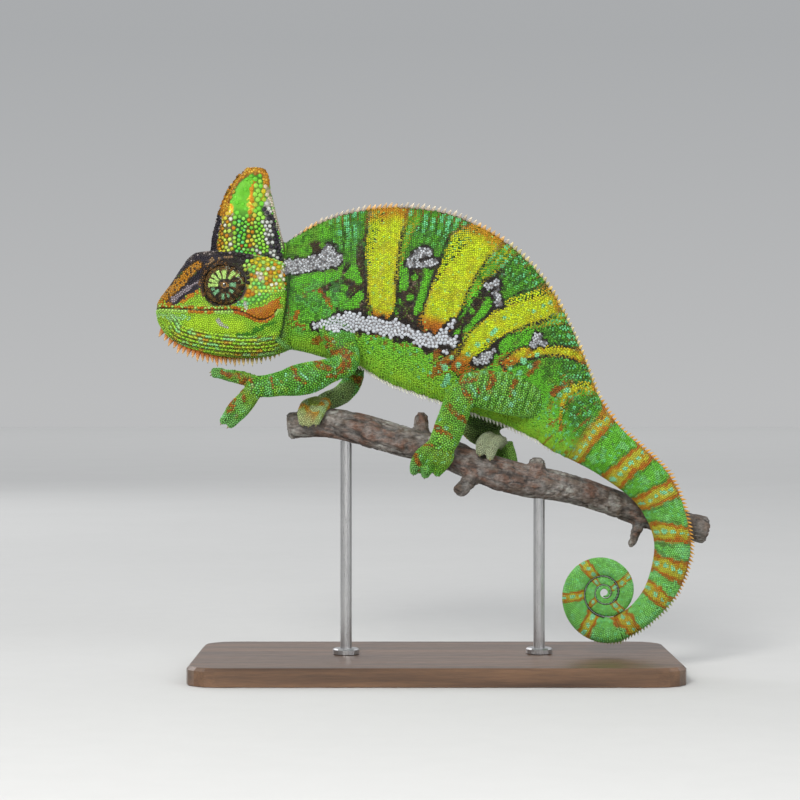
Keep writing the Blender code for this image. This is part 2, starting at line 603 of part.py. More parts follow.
def perch_solid(name, grow=0.0, sides=11, count=15):
    rings = []
    for k in range(count + 1):
        t = k * (len(PERCH) - 1) / count
        x, y, z, r = blend(PERCH, t)
        a, b = blend(PERCH, t - 0.1), blend(PERCH, t + 0.1)
        along = (Vector(b[:3]) - Vector(a[:3])).normalized()
        one = Vector((0, 1, 0)).cross(along).normalized()
        two = along.cross(one)
        centre = Vector((x, y, z))
        if grow and k in (0, count):
            centre += along * (grow if k else -grow)
        rings.append(oval(centre, one, two, r + grow, r + grow, sides))
    return loft(name, rings)


def stub(name, start, end, r0, r1, sides=7):
    a, b = Vector(start), Vector(end)
    along = (b - a).normalized()
    one = along.orthogonal().normalized()
    two = along.cross(one)
    rings = []
    for f in (0.0, 0.5, 1.0):
        r = r0 + (r1 - r0) * math.sqrt(f)
        rings.append(oval(a.lerp(b, f), one, two, r, r, sides))
    return loft(name, rings)


def plate_outline(inset, z):
    """Rounded rectangle of the base plate at height z."""
    ring = []
    for qx, qy, start in ((1, 1, 0), (-1, 1, 90), (-1, -1, 180), (1, -1, 270)):
        for k in range(5):
            a = math.radians(start + 22.5 * k)
            r = BASE_CORNER - inset
            ring.append((qx * (BASE_LENGTH / 2 - BASE_CORNER) + r * math.cos(a),
                         qy * (BASE_WIDTH / 2 - BASE_CORNER) + r * math.sin(a), z))
    return ring


def build_rod(name, x, mat):
    """Foot disc on the plate and a shaft up to the underside of the perch."""
    t = min((k * 0.01 for k in range(100 * (len(PERCH) - 1))), key=lambda v: abs(blend(PERCH, v)[0] - x))
    _, y, top, _ = blend(PERCH, t)
    low = BASE_THICK + GAP
    rings = []
    foot_top = low + ROD_FOOT_THICK
    profile = [(ROD_FOOT_RADIUS, low), (ROD_FOOT_RADIUS, foot_top - 0.6), (ROD_FOOT_RADIUS - 0.6, foot_top),
               (ROD_RADIUS, foot_top), (ROD_RADIUS, top)]
    for r, z in profile:
        rings.append(oval(Vector((x, y, z)), Vector((1, 0, 0)), Vector((0, 1, 0)), r, r, ROD_SIDES))
    rod = loft(name, rings)
    boolean(rod, [perch_solid("perch_cutter", GAP)], "DIFFERENCE")
    settle(rod, mat)


def build_stand(wood, base_mat, rod_mat):
    """Perch with its stubs, base plate and the two rods."""
    perch = perch_solid("perch_branch")
    boolean(perch, [stub(f"stub_{i}", *row) for i, row in enumerate(PERCH_STUBS)], "UNION")
    settle(perch, wood)
    rings = [plate_outline(0.0, 0.0), plate_outline(0.0, BASE_THICK - BASE_BEVEL),
             plate_outline(BASE_BEVEL, BASE_THICK)]
    settle(loft("stand_base", rings), base_mat, smooth=False)
    build_rod("stand_rod_front", ROD_FRONT_X, rod_mat)
    build_rod("stand_rod_rear", ROD_REAR_X, rod_mat)


def main():
    for obj in list(bpy.data.objects):
        bpy.data.objects.remove(obj, do_unlink=True)
    skin = material("green_skin", (0.17, 0.30, 0.035), 0.6)
    head_skin = material("head_skin", (0.20, 0.26, 0.05), 0.6)
    casque_skin = material("casque_skin", (0.42, 0.40, 0.06), 0.55)
    limb_skin = material("limb_skin", (0.19, 0.25, 0.04), 0.62)
    eye_skin = material("eye_skin", (0.16, 0.24, 0.05), 0.4)
    bark = material("bark", (0.22, 0.19, 0.15), 0.85)
    base_wood = material("base_wood", (0.11, 0.065, 0.035), 0.45)
    steel = material("rod_steel", (0.55, 0.55, 0.56), 0.3, 1.0)

    build_head(head_skin, casque_skin, eye_skin)
    build_body(skin)

    side = (0.0, 1.0, 0.0)
    build_limb("left", UPPER_ARM_LEFT, FOREARM_LEFT, side, limb_skin, hand=True)
    build_limb("right", UPPER_ARM_RIGHT, FOREARM_RIGHT, side, limb_skin, hand=True)
    build_limb("left", THIGH_LEFT, SHANK_LEFT, side, limb_skin)
    build_limb("right", THIGH_RIGHT, SHANK_RIGHT, side, limb_skin)

    def perch_cut():
        return perch_solid("perch_cutter", GAP)

    along_perch = (1.0, 0.0, 0.0)
    grips = [
        ("hand_left", HAND_LEFT_INNER, HAND_LEFT_OUTER, FOREARM_LEFT, side,
         (0.1, 0.0, -0.6), (-0.5, 0.0, -0.2)),
        ("hand_right", HAND_RIGHT_INNER, HAND_RIGHT_OUTER, FOREARM_RIGHT, along_perch,
         (0.0, 0.7, -1.0), (0.0, -0.7, -1.0)),
        ("foot_left", FOOT_LEFT_INNER, FOOT_LEFT_OUTER, SHANK_LEFT, along_perch,
         (0.0, -0.7, -1.0), (0.0, 0.7, -0.6)),
        ("foot_right", FOOT_RIGHT_INNER, FOOT_RIGHT_OUTER, SHANK_RIGHT, along_perch,
         (0.0, 0.7, -1.0), (0.0, -0.7, -0.6)),
    ]
    for name, inner, outer, limb, ref, curl_in, curl_out in grips:
        def limb_cut(rows=limb):
            return tube("limb_cutter", rows, side, LIMB_SIDES, GAP)

        def inner_cuts(rows=inner, axis=ref):
            return bundle("toe_cutter", rows, axis, GAP)

        build_grip(name + "_inner_toes", inner, ref, [perch_cut, limb_cut], limb_skin, curl_in)
        build_grip(name + "_outer_toes", outer, ref, [perch_cut, limb_cut, inner_cuts], limb_skin, curl_out)

    build_stand(bark, base_wood, steel)
    bpy.context.view_layer.update()


main()
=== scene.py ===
"""Looks of the veiled chameleon model: one skin with scales, crests, claws, eyes, perch and stand.

Everything is in metres in the frame's own axes.  Tables and layout functions work in
millimetres; MM turns them into metres.  The animal faces -X and its left side faces -Y.
"""

import math

import bmesh
import bpy
import numpy as np
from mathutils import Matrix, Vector
from mathutils.bvhtree import BVHTree
from mathutils.kdtree import KDTree


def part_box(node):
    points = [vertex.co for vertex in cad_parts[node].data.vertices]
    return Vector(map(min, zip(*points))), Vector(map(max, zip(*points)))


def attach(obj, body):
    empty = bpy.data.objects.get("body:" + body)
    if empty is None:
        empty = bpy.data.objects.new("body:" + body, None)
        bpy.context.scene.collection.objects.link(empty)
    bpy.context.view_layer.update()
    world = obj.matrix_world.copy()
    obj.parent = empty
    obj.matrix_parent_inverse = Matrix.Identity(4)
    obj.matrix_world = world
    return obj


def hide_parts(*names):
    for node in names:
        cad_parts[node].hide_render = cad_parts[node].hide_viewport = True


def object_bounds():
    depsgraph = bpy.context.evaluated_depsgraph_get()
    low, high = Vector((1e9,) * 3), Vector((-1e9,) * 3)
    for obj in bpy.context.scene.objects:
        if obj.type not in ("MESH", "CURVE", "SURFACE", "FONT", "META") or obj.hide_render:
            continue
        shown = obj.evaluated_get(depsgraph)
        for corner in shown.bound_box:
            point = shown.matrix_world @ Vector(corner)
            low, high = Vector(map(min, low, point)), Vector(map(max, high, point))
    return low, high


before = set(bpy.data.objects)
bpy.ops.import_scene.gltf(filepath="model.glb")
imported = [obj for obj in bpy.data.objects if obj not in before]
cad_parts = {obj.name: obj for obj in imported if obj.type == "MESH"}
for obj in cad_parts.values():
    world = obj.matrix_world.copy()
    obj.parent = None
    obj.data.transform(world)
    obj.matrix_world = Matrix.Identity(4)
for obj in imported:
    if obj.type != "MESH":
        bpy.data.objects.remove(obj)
CAD_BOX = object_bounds()

MM = 0.001

# ---------------------------------------------------------------- pieces of the frame
HEAD_NODES = ["head", "lower_jaw", "casque"]
COIL_NODES = ["tail_curl_outer", "tail_curl_inner"]
BODY_NODES = ["neck", "trunk", "hip", "tail_base", "tail_middle"] + COIL_NODES
LIMB_NODES = [part + side for side in ("left", "right")
              for part in ("upper_arm_", "forearm_", "thigh_", "shank_")]
TOE_NODES = [f"{part}_{side}_{row}_toes" for side in ("left", "right")
             for part in ("hand", "foot") for row in ("inner", "outer")]
FLESH_NODES = BODY_NODES + HEAD_NODES + LIMB_NODES + TOE_NODES

# ---------------------------------------------------------------- sizes (mm)
VOXEL = 0.68       # grain of the skin mesh
SWELL = 0.27                         # closes the clearance between CAD nodes before they are joined
COAT = 0.34                          # scales stand this far over the skin
PIECE_TRIANGLES = 190000             # most triangles in one piece of coat
TILE_SHARE = 0.585                   # half of a tile's size, as a share of the gap between roots
CROWDED = 0.66                       # roots nearer than this share of their sizes are dropped
FOOT_SUNK = 0.18                     # a scale's foot lies this far under its root
SHOULDER_WIDTH = 0.78                # of a scale, as a share of its width and of its height
SHOULDER_HEIGHT = 0.66
UV_MARGIN = 0.02
SPARSE, BODY_SPARSE, STRIPE_SPARSE = ((1.0, 1.0, 1.0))
EYE_PITCH = 0.72   # gap between the turrets' scales

GAP = 0.3
BODY_Y_SWAY = -3.0
COIL_X, COIL_Z = 76.0, 36.0
COIL_SWELL = 0.27                    # closes the clearance between the turns
COIL_RADIUS, COIL_RATIO, COIL_START, COIL_TURNS, COIL_STEP = 16.65, 0.475, 70.5, 3.1, 20.0
# Spine stations: back x, z; belly x, z; half width; how far the back is pinched to a ridge.
SPINE = np.array([
    (-67.6, 193.1, -64.9, 144.9, 11.5, 0.35),
    (-60.8, 197.6, -58.1, 143.6, 12.0, 0.42),
    (-50.9, 203.0, -47.2, 140.4, 13.0, 0.50),
    (-38.2, 207.2, -35.6, 138.2, 14.0, 0.55),
    (-22.5, 209.5, -22.5, 130.5, 14.8, 0.55),
    (-6.8, 209.2, -9.5, 125.5, 15.2, 0.55),
    (9.0, 205.9, 3.6, 121.0, 15.0, 0.55),
    (24.8, 198.5, 15.8, 116.5, 14.2, 0.55),
    (39.1, 188.1, 27.4, 112.5, 13.2, 0.50),
    (51.8, 173.2, 37.8, 108.0, 12.2, 0.45),
    (61.6, 154.8, 45.9, 104.0, 11.2, 0.40),
    (68.4, 138.6, 51.8, 99.9, 10.3, 0.35),
    (74.2, 123.3, 59.0, 96.3, 9.4, 0.30),
    (83.2, 110.2, 69.8, 90.9, 8.7, 0.25),
    (94.5, 100.1, 80.1, 84.2, 8.2, 0.20),
    (104.4, 90.0, 88.7, 77.4, 7.9, 0.20),
    (111.2, 76.5, 94.5, 69.3, 7.5, 0.15),
    (114.8, 59.0, 98.1, 59.0, 7.0, 0.15),
    (113.0, 45.9, 97.2, 48.6, 6.6, 0.10),
    (107.1, 33.3, 93.6, 37.8, 6.1, 0.10),
    (96.3, 22.0, 87.4, 29.8, 5.8, 0.10),
    (83.7, 14.3, 79.8, 25.2, 5.6, 0.10),
])
LAST = len(SPINE) - 1
STATION = 13.5                       # about the distance between neighbouring stations
SPINE_END = LAST + COIL_TURNS * 360.0 / COIL_STEP
COIL_SPLIT = LAST + 18.0             # the coil's outer node ends here and the inner node starts
MOUTH = [(-130.0, 163.8), (-121.5, 163.6), (-114.8, 163.1), (-105.8, 162.5), (-90.0, 162.5),
         (-85.5, 161.6), (-82.4, 160.0), (-79.2, 158.4), (-75.6, 158.2), (-72.4, 160.0), (-69.6, 163.2)]
CANTHUS = [(-121.1, 167.3), (-117.1, 170.9), (-111.8, 174.4), (-106.4, 180.4), (-104.2, 184.0)]
BROW = [(-109.0, 180.0), (-105.6, 182.5), (-102.0, 184.6), (-96.7, 185.9), (-90.4, 186.4), (-84.2, 185.2)]
NECK_GROOVE = [(-66.5, 181.0), (-65.8, 172.0), (-66.0, 162.0), (-68.0, 154.0), (-70.0, 149.0)]
CASQUE_REAR = [(-74.0, 213.3), (-71.3, 200.8), (-68.6, 189.6), (-66.3, 179.7)]

# ---------------------------------------------------------------- colours
YELLOW = (0.415, 0.530, 0.010)
DEEP_YELLOW = (0.44, 0.36, 0.010)
ORANGE = (0.41, 0.175, 0.008)
FLAME = (0.34, 0.085, 0.007)
RUST = (0.24, 0.075, 0.010)
BACK_GREEN = (0.075, 0.285, 0.016)
MOSS = (0.095, 0.220, 0.018)
GRASS = (0.095, 0.360, 0.018)
BELLY_GREEN = (0.120, 0.430, 0.030)
LIME = (0.300, 0.520, 0.025)
TURQUOISE = (0.130, 0.500, 0.220)
STRIPE = (0.430, 0.455, 0.490)
BROWN = (0.040, 0.025, 0.012)
DARK = (0.016, 0.012, 0.010)
PLUM = (0.026, 0.022, 0.032)
LILAC = (0.250, 0.215, 0.240)

# The side view, which the markings are laid out in, is seen from this place before the left side.
VIEW_CENTRE = (-15.75, 122.4)        # x and z, mm
VIEW_DEPTH = 1000.0                  # mm from the animal's middle plane


def side_view(points):
    """Side-view x and z of points, as they show from the view's distance."""
    near = 1.0 - abs(points[:, 1]) / VIEW_DEPTH
    return (VIEW_CENTRE[0] + (points[:, 0] - VIEW_CENTRE[0]) / near,
            VIEW_CENTRE[1] + (points[:, 2] - VIEW_CENTRE[1]) / near)


# ---------------------------------------------------------------- small numeric tools
def ramp(a, b, x):
    """0 below a, 1 above b, or the other way round when b is below a."""
    f = np.clip((x - a) / (b - a), 0.0, 1.0)
    return f * f * (3.0 - 2.0 * f)


def unit(v):
    """Vectors of length 1."""
    return v / np.maximum(np.linalg.norm(v, axis=-1, keepdims=True), 1e-12)


def plain(colour, count):
    """The same colour for a number of points."""
    return np.tile(np.array(colour, float), (count, 1))


def lay(base, colour, mask):
    """Lays a colour over a base where the mask is 1."""
    m = np.clip(mask, 0.0, 1.0)[:, None]
    return base * (1.0 - m) + np.asarray(colour, float) * m


def lay_all(base, layers):
    """Lays (colour, mask) layers over a base, one after another."""
    for colour, mask in layers:
        base = lay(base, colour, mask)
    return base


def lattice_value(cells, seed):
    """Steady random number from 0 to 1 for each lattice cell."""
    c = cells.astype(np.int64)
    h = c[..., 0] * 73856093 ^ c[..., 1] * 19349663 ^ (c[..., 2] * 83492791 + seed * 15485863)
    h = (h ^ (h >> 13)) * 1274126177
    h = (h ^ (h >> 16)) & 0x7FFFFFFF
    return (h % 100003) / 100003.0


def noise(points, size, seed):
    """Smooth value noise from 0 to 1 with features of the given size."""
    q = points / size
    low = np.floor(q)
    f = q - low
    f = f * f * (3.0 - 2.0 * f)
    total = np.zeros(len(points))
    for dx in (0, 1):
        for dy in (0, 1):
            for dz in (0, 1):
                weight = (np.where(dx, f[:, 0], 1 - f[:, 0]) * np.where(dy, f[:, 1], 1 - f[:, 1])
                          * np.where(dz, f[:, 2], 1 - f[:, 2]))
                total += weight * lattice_value(low + (dx, dy, dz), seed)
    return total


def spots(u, v, pitch, radius, seed, share=1.0):
    """Mask of round spots, one in each cell of a jittered lattice, and each spot's own number."""
    cu, cv = np.floor(u / pitch), np.floor(v / pitch)
    best = np.full(len(u), 1e9)
    own = np.zeros(len(u))
    for du in (-1, 0, 1):
        for dv in (-1, 0, 1):
            cell = np.stack([cu + du, cv + dv, np.zeros(len(u))], axis=1)
            ru, rv = lattice_value(cell, seed), lattice_value(cell, seed + 1)
            keep = lattice_value(cell, seed + 2)
            d = np.hypot(u - (cu + du + 0.2 + 0.6 * ru) * pitch, v - (cv + dv + 0.2 + 0.6 * rv) * pitch)
            d = np.where(keep < share, d, 1e9)
            own = np.where(d < best, keep / share, own)
            best = np.minimum(best, d)
    return ramp(radius * 1.25, radius * 0.75, best), own


def line_distance(x, z, line):
    """Distance from points to a side-view line, and how far along it they are, 0 to 1."""
    best = np.full(len(x), 1e9)
    place = np.zeros(len(x))
    steps = max(len(line) - 1, 1)
    for i in range(steps):
        (ax, az), (bx, bz) = line[i], line[min(i + 1, len(line) - 1)]
        dx, dz = bx - ax, bz - az
        f = np.clip(((x - ax) * dx + (z - az) * dz) / (dx * dx + dz * dz or 1.0), 0, 1)
        d = np.hypot(x - ax - f * dx, z - az - f * dz)
        place = np.where(d < best, (i + f) / steps, place)
        best = np.minimum(best, d)
    return best, place


def patch_reach(x, z, table):
    """How far points lie inside the nearest of many side-view patches; negative outside."""
    best = np.full(len(x), -99.0)
    for line, half in table:
        best = np.maximum(best, half - line_distance(x, z, line)[0])
    return best


def patch_mask(x, z, table, rough, edge=0.35):
    """Mask of side-view patches whose edges run rough."""
    return ramp(-edge, edge, patch_reach(x, z, table) + rough)


def lay_marks(col, x, z, tile, rough, table):
    """Lays a table of marks: colour, share of the beads that take it, and side-view strokes."""
    for number, (colour, share, strokes) in enumerate(table):
        own = (tile * (3.7 + 2.3 * number)) % 1.0
        col = lay(col, colour, patch_mask(x, z, strokes, rough, 0.25) * (own <= share))
    return col


def choose(tile, rows):
    """Colour for each bead's random number from (upper number, colour) rows."""
    edges = [row[0] for row in rows[:-1]]
    return np.array([row[1] for row in rows])[np.searchsorted(edges, tile)]


def inside_outline(x, z, outline):
    """True where a point lies inside a closed side-view outline."""
    inside = np.zeros(len(x), bool)
    for i in range(len(outline)):
        (ax, az), (bx, bz) = outline[i], outline[(i + 1) % len(outline)]
        crosses = (az > z) != (bz > z)
        at = ax + (z - az) * (bx - ax) / np.where(abs(bz - az) < 1e-9, 1e-9, bz - az)
        inside ^= crosses & (x < at)
    return inside


# ---------------------------------------------------------------- the spine
def blend_rows(table, t):
    """Smooth values of a table of equal rows at row numbers t."""
    last = len(table) - 1
    t = np.clip(t, 0.0, last)
    i = np.minimum(t.astype(int), last - 1)
    f = (t - i)[:, None]
    a, b = table[np.maximum(i - 1, 0)], table[i]
    c, d = table[i + 1], table[np.minimum(i + 2, last)]
    square, cube = 2 * a - 5 * b + 4 * c - d, 3 * b - a - 3 * c + d
    return 0.5 * (2 * b + (c - a) * f + square * f ** 2 + cube * f ** 3)


def spine_row(s):
    """Back point, belly point, half width, pinch and sway of the body at stations s."""
    s = np.atleast_1d(np.asarray(s, float))
    row = blend_rows(SPINE, s)
    turn = np.maximum(s - LAST, 0.0) * COIL_STEP / 360.0
    r = COIL_RADIUS * COIL_RATIO ** (turn + (COIL_START - 90.0) / 360.0)
    width = 2.0 * (r * (1 - COIL_RATIO) - GAP * 1.6) / (1 + COIL_RATIO)
    end = np.maximum(0.0, turn - (COIL_TURNS - 0.3)) / 0.3
    width = width * np.sqrt(np.maximum(0.05, 1.0 - 0.75 * end * end))
    a = math.radians(COIL_START) + turn * 2 * math.pi
    ux, uz = np.cos(a), -np.sin(a)
    coil = np.stack([COIL_X + ux * (r + width / 2), COIL_Z + uz * (r + width / 2),
                     COIL_X + ux * (r - width / 2), COIL_Z + uz * (r - width / 2),
                     width * 0.5, np.full(len(s), 0.08)], axis=1)
    row = np.where((s > LAST)[:, None], coil, row)
    k = np.clip((s - 10.5) / 4.0, 0.0, 1.0)
    return row, BODY_Y_SWAY * k * k * (3 - 2 * k)


def spine_frame(s):
    """Middle, up and rearward directions, half height, half width, pinch and mm per station."""
    near = 0.02
    row, sway = spine_row(s)
    ahead, _ = spine_row(np.asarray(s) + near)
    behind, _ = spine_row(np.asarray(s) - near)
    back = np.stack([row[:, 0], sway, row[:, 1]], axis=1)
    belly = np.stack([row[:, 2], sway, row[:, 3]], axis=1)
    step = ahead[:, 0:4] - behind[:, 0:4]
    along = unit(np.stack([step[:, 0] + step[:, 2], np.zeros(len(row)), step[:, 1] + step[:, 3]], axis=1))
    span = back - belly
    return {"mid": (back + belly) / 2, "up": unit(span), "along": along, "back": back, "belly": belly,
            "half": np.linalg.norm(span, axis=1) / 2, "width": row[:, 4], "pinch": row[:, 5],
            "run_back": np.hypot(step[:, 0], step[:, 1]) / (2 * near),
            "run_belly": np.hypot(step[:, 2], step[:, 3]) / (2 * near)}


def section_point(f, angle):
    """Points of the body section at an angle from the back, for rows of a spine frame."""
    c, sn = np.cos(angle), np.sin(angle)
    pinch = f["pinch"]
    lean = 1.0 - pinch * np.maximum(0, (1 + c) / 2) ** 2 - 0.25 * pinch * np.maximum(0, (1 - c) / 2) ** 4
    full = 1.0 + 0.10 * abs(np.sin(2 * angle)) * (1 - pinch)
    out = f["mid"] + f["up"] * (f["half"] * c)[:, None]
    out[:, 1] += f["width"] * sn * lean * full
    return out


def kd_tree(points):
    """Tree of points that finds each one's neighbours."""
    tree = KDTree(len(points))
    for i, p in enumerate(points):
        tree.insert(p, i)
    tree.balance()
    return tree


class SpineMap:
    """Finds the station and height of any point on the neck, trunk and tail."""

    def __init__(self):
        self.stations = np.concatenate([np.arange(0, LAST, 0.1), np.arange(LAST, SPINE_END + 0.2, 0.35)])
        angles = np.linspace(0, 2 * math.pi, 26, endpoint=False)
        f = spine_frame(self.stations)
        cloud = np.stack([section_point(f, np.full(len(self.stations), a)) for a in angles], axis=1)
        self.count = len(angles)
        self.tree = kd_tree(cloud.reshape(-1, 3))

    def __call__(self, points):
        found = np.array([self.tree.find(p)[1] for p in points]) // self.count
        s = self.stations[found]
        f = spine_frame(s)
        offset = np.sum((points - f["mid"]) * f["along"], axis=1)
        height = np.sum((points - f["mid"]) * f["up"], axis=1)
        share = np.clip((height / f["half"] + 1) / 2, 0, 1)
        run = f["run_belly"] * (1 - share) + f["run_back"] * share
        s = s + np.clip(offset / run, -0.6, 0.6)
        f = spine_frame(s)
        height = np.sum((points - f["mid"]) * f["up"], axis=1)
        return s, np.clip((height / f["half"] + 1) / 2, 0, 1)


# ---------------------------------------------------------------- meshes
def make_mesh(name, points_mm, triangles, paint=None, smooth=True):
    """Mesh object from millimetre points and triangles, with an optional colour for each point."""
    mesh = bpy.data.meshes.new(name)
    triangles = np.asarray(triangles, np.int32).reshape(-1, 3)
    mesh.vertices.add(len(points_mm))
    mesh.vertices.foreach_set("co", (np.asarray(points_mm) * MM).astype(np.float32).ravel())
    mesh.loops.add(triangles.size)
    mesh.loops.foreach_set("vertex_index", triangles.ravel())
    mesh.polygons.add(len(triangles))
    mesh.polygons.foreach_set("loop_start", np.arange(0, triangles.size, 3, dtype=np.int32))
    mesh.update(calc_edges=True)
    mesh.validate()
    if paint is not None:
        put_paint(mesh, paint)
    mesh.polygons.foreach_set("use_smooth", np.full(len(mesh.polygons), smooth))
    obj = bpy.data.objects.new(name, mesh)
    bpy.context.scene.collection.objects.link(obj)
    return obj


def put_paint(mesh, colours):
    """Stores a colour for each point."""
    layer = mesh.attributes.new("paint", "FLOAT_COLOR", "POINT")
    rgba = np.ones((len(colours), 4), np.float32)
    rgba[:, :3] = np.clip(colours, 0, 1)
    layer.data.foreach_set("color", rgba.ravel())


def put_number(mesh, name, values):
    """Stores a number for each point."""
    layer = mesh.attributes.new(name, "FLOAT", "POINT")
    layer.data.foreach_set("value", np.asarray(values, np.float32).ravel())


def mesh_arrays(mesh):
    """Points in mm and triangles of a mesh."""
    co = np.zeros(len(mesh.vertices) * 3, np.float32)
    mesh.vertices.foreach_get("co", co)
    mesh.calc_loop_triangles()
    tri = np.zeros(len(mesh.loop_triangles) * 3, np.int32)
    mesh.loop_triangles.foreach_get("vertices", tri)
    return co.reshape(-1, 3).astype(float) / MM, tri.reshape(-1, 3)


def node_arrays(name):
    """Points in mm and triangles of a welded copy of a CAD node."""
    bm = bmesh.new()
    bm.from_mesh(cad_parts[name].data)
    bmesh.ops.remove_doubles(bm, verts=bm.verts, dist=2e-6)
    bmesh.ops.triangulate(bm, faces=bm.faces)
    bm.verts.index_update()
    points = np.array([v.co for v in bm.verts]) / MM
    triangles = np.array([[v.index for v in f.verts] for f in bm.faces])
    bm.free()
    return points, triangles


def joined(shapes):
    """Points and triangles of many shapes as one."""
    points, triangles, count = [], [], 0
    for p, t in shapes:
        points.append(p)
        triangles.append(t + count)
        count += len(p)
    return np.concatenate(points), np.concatenate(triangles)


def tube_faces(rings, sides, first=0):
    """Triangles between neighbouring rings of points; first is the number of the first point."""
    faces = []
    for k in range(rings - 1):
        for i in range(sides):
            a = first + k * sides + i
            b = first + k * sides + (i + 1) % sides
            faces += [(a, b, b + sides), (a, b + sides, a + sides)]
    return faces


def cap_faces(centre, first, sides, onward):
    """Triangles from a centre point to a ring; they face onward along the tube, or back."""
    pairs = [(first + i, first + (i + 1) % sides) for i in range(sides)]
    return [(centre, a, b) if onward else (centre, b, a) for a, b in pairs]


def closed_tube(rings):
    """Points and triangles of a tube through rings of points, closed at both ends."""
    count, sides = rings.shape[:2]
    first = count * sides
    points = np.concatenate([rings.reshape(-1, 3), rings[0].mean(axis=0)[None], rings[-1].mean(axis=0)[None]])
    faces = tube_faces(count, sides) + cap_faces(first, 0, sides, False)
    return points, np.array(faces + cap_faces(first + 1, first - sides, sides, True))


def corner_lists(points, triangles):
    """Triangles round each point, and the angle each of them makes there."""
    p = points[triangles]
    angles = np.zeros(triangles.shape)
    for k in range(3):
        a = unit(p[:, (k + 1) % 3] - p[:, k])
        b = unit(p[:, (k + 2) % 3] - p[:, k])
        angles[:, k] = np.arccos(np.clip(np.sum(a * b, axis=1), -1, 1))
    around = [[] for _ in points]
    for i, tri in enumerate(triangles):
        for k in range(3):
            around[tri[k]].append((i, k))
    return around, angles


def cut_spikes(points, triangles):
    """Flattens every sharp apex; gives back the apex, foot and direction of each spike."""
    around, angles = corner_lists(points, triangles)
    spikes = []
    points = points.copy()
    for v, corners in enumerate(around):
        if not corners or sum(angles[i, k] for i, k in corners) > 2.6:
            continue
        ring = sorted({w for i, _ in corners for w in triangles[i]} - {v})
        foot = points[ring].mean(axis=0)
        spikes.append((points[v].copy(), foot))
        points[v] = foot
    return points, spikes


def rounded(points, triangles, sharp, grow):
    """Fine triangles over a faceted solid, bulged so that its facets read as one smooth surface."""
    around, angles = corner_lists(points, triangles)
    p = points[triangles]
    normals = unit(np.cross(p[:, 1] - p[:, 0], p[:, 2] - p[:, 0]))
    corner = np.zeros(triangles.shape + (3,))
    limit = math.cos(math.radians(sharp))
    for corners in around:
        if not corners:
            continue
        ids = np.array([i for i, _ in corners])
        ks = np.array([k for _, k in corners])
        n = normals[ids]
        weight = angles[ids, ks]
        near = (n @ n.T) > limit
        corner[ids, ks] = unit((near * weight[None, :]) @ n)
    steps = 5
    grid = [(i / steps, j / steps) for i in range(steps + 1) for j in range(steps + 1 - i)]
    index = {(round(u * steps), round(v * steps)): k for k, (u, v) in enumerate(grid)}
    cells = []
    for i in range(steps):
        for j in range(steps - i):
            cells.append((index[i, j], index[i + 1, j], index[i, j + 1]))
            if i + j < steps - 1:
                cells.append((index[i + 1, j], index[i + 1, j + 1], index[i, j + 1]))
    uv = np.array(grid)
    weights = np.stack([1 - uv.sum(axis=1), uv[:, 0], uv[:, 1]], axis=1)
    flat = np.einsum("gk,tkc->tgc", weights, p)
    bulged = np.zeros_like(flat)
    normal = unit(np.einsum("gk,tkc->tgc", weights, corner))
    for k in range(3):
        n = corner[:, None, k]
        lift = np.sum((flat - p[:, None, k]) * n, axis=2, keepdims=True)
        bulged += weights[None, :, k, None] * (flat - lift * n)
    shape = flat * 0.4 + bulged * 0.6 + normal * grow
    fine = (np.array(cells)[None] + np.arange(len(triangles))[:, None, None] * len(grid)).reshape(-1, 3)
    return shape.reshape(-1, 3), fine


def voxel_join(name, parts, voxel):
    """One closed mesh round all the given shapes."""
    obj = make_mesh(name, *joined(parts))
    mod = obj.modifiers.new("join", "REMESH")
    mod.mode = "VOXEL"
    mod.voxel_size = voxel * MM
    bpy.context.view_layer.update()
    graph = bpy.context.evaluated_depsgraph_get()
    mesh = bpy.data.meshes.new_from_object(obj.evaluated_get(graph))
    old = obj.data
    bpy.data.objects.remove(obj)
    bpy.data.meshes.remove(old)
    return mesh


def point_normals(points, triangles):
    """Normals of points, from the triangles round them."""
    p = points[triangles]
    n = np.cross(p[:, 1] - p[:, 0], p[:, 2] - p[:, 0])
    total = np.zeros_like(points)
    for k in range(3):
        for c in range(3):
            total[:, c] += np.bincount(triangles[:, k], n[:, c], len(points))
    return unit(total)


def smoother(mesh, points):
    """The mesh's edges, and a function that evens a point array over them."""
    edges = np.zeros(len(mesh.edges) * 2, np.int32)
    mesh.edges.foreach_get("vertices", edges)
    a, b = edges.reshape(-1, 2).T
    degree = np.maximum(np.bincount(a, minlength=len(points)) + np.bincount(b, minlength=len(points)), 1)

    def even(values, share):
        out = np.empty_like(values)
        for c in range(values.shape[1]):
            total = np.bincount(a, values[b, c], len(points)) + np.bincount(b, values[a, c], len(points))
            out[:, c] = values[:, c] + share * (total / degree - values[:, c])
        return out
    return (a, b), even


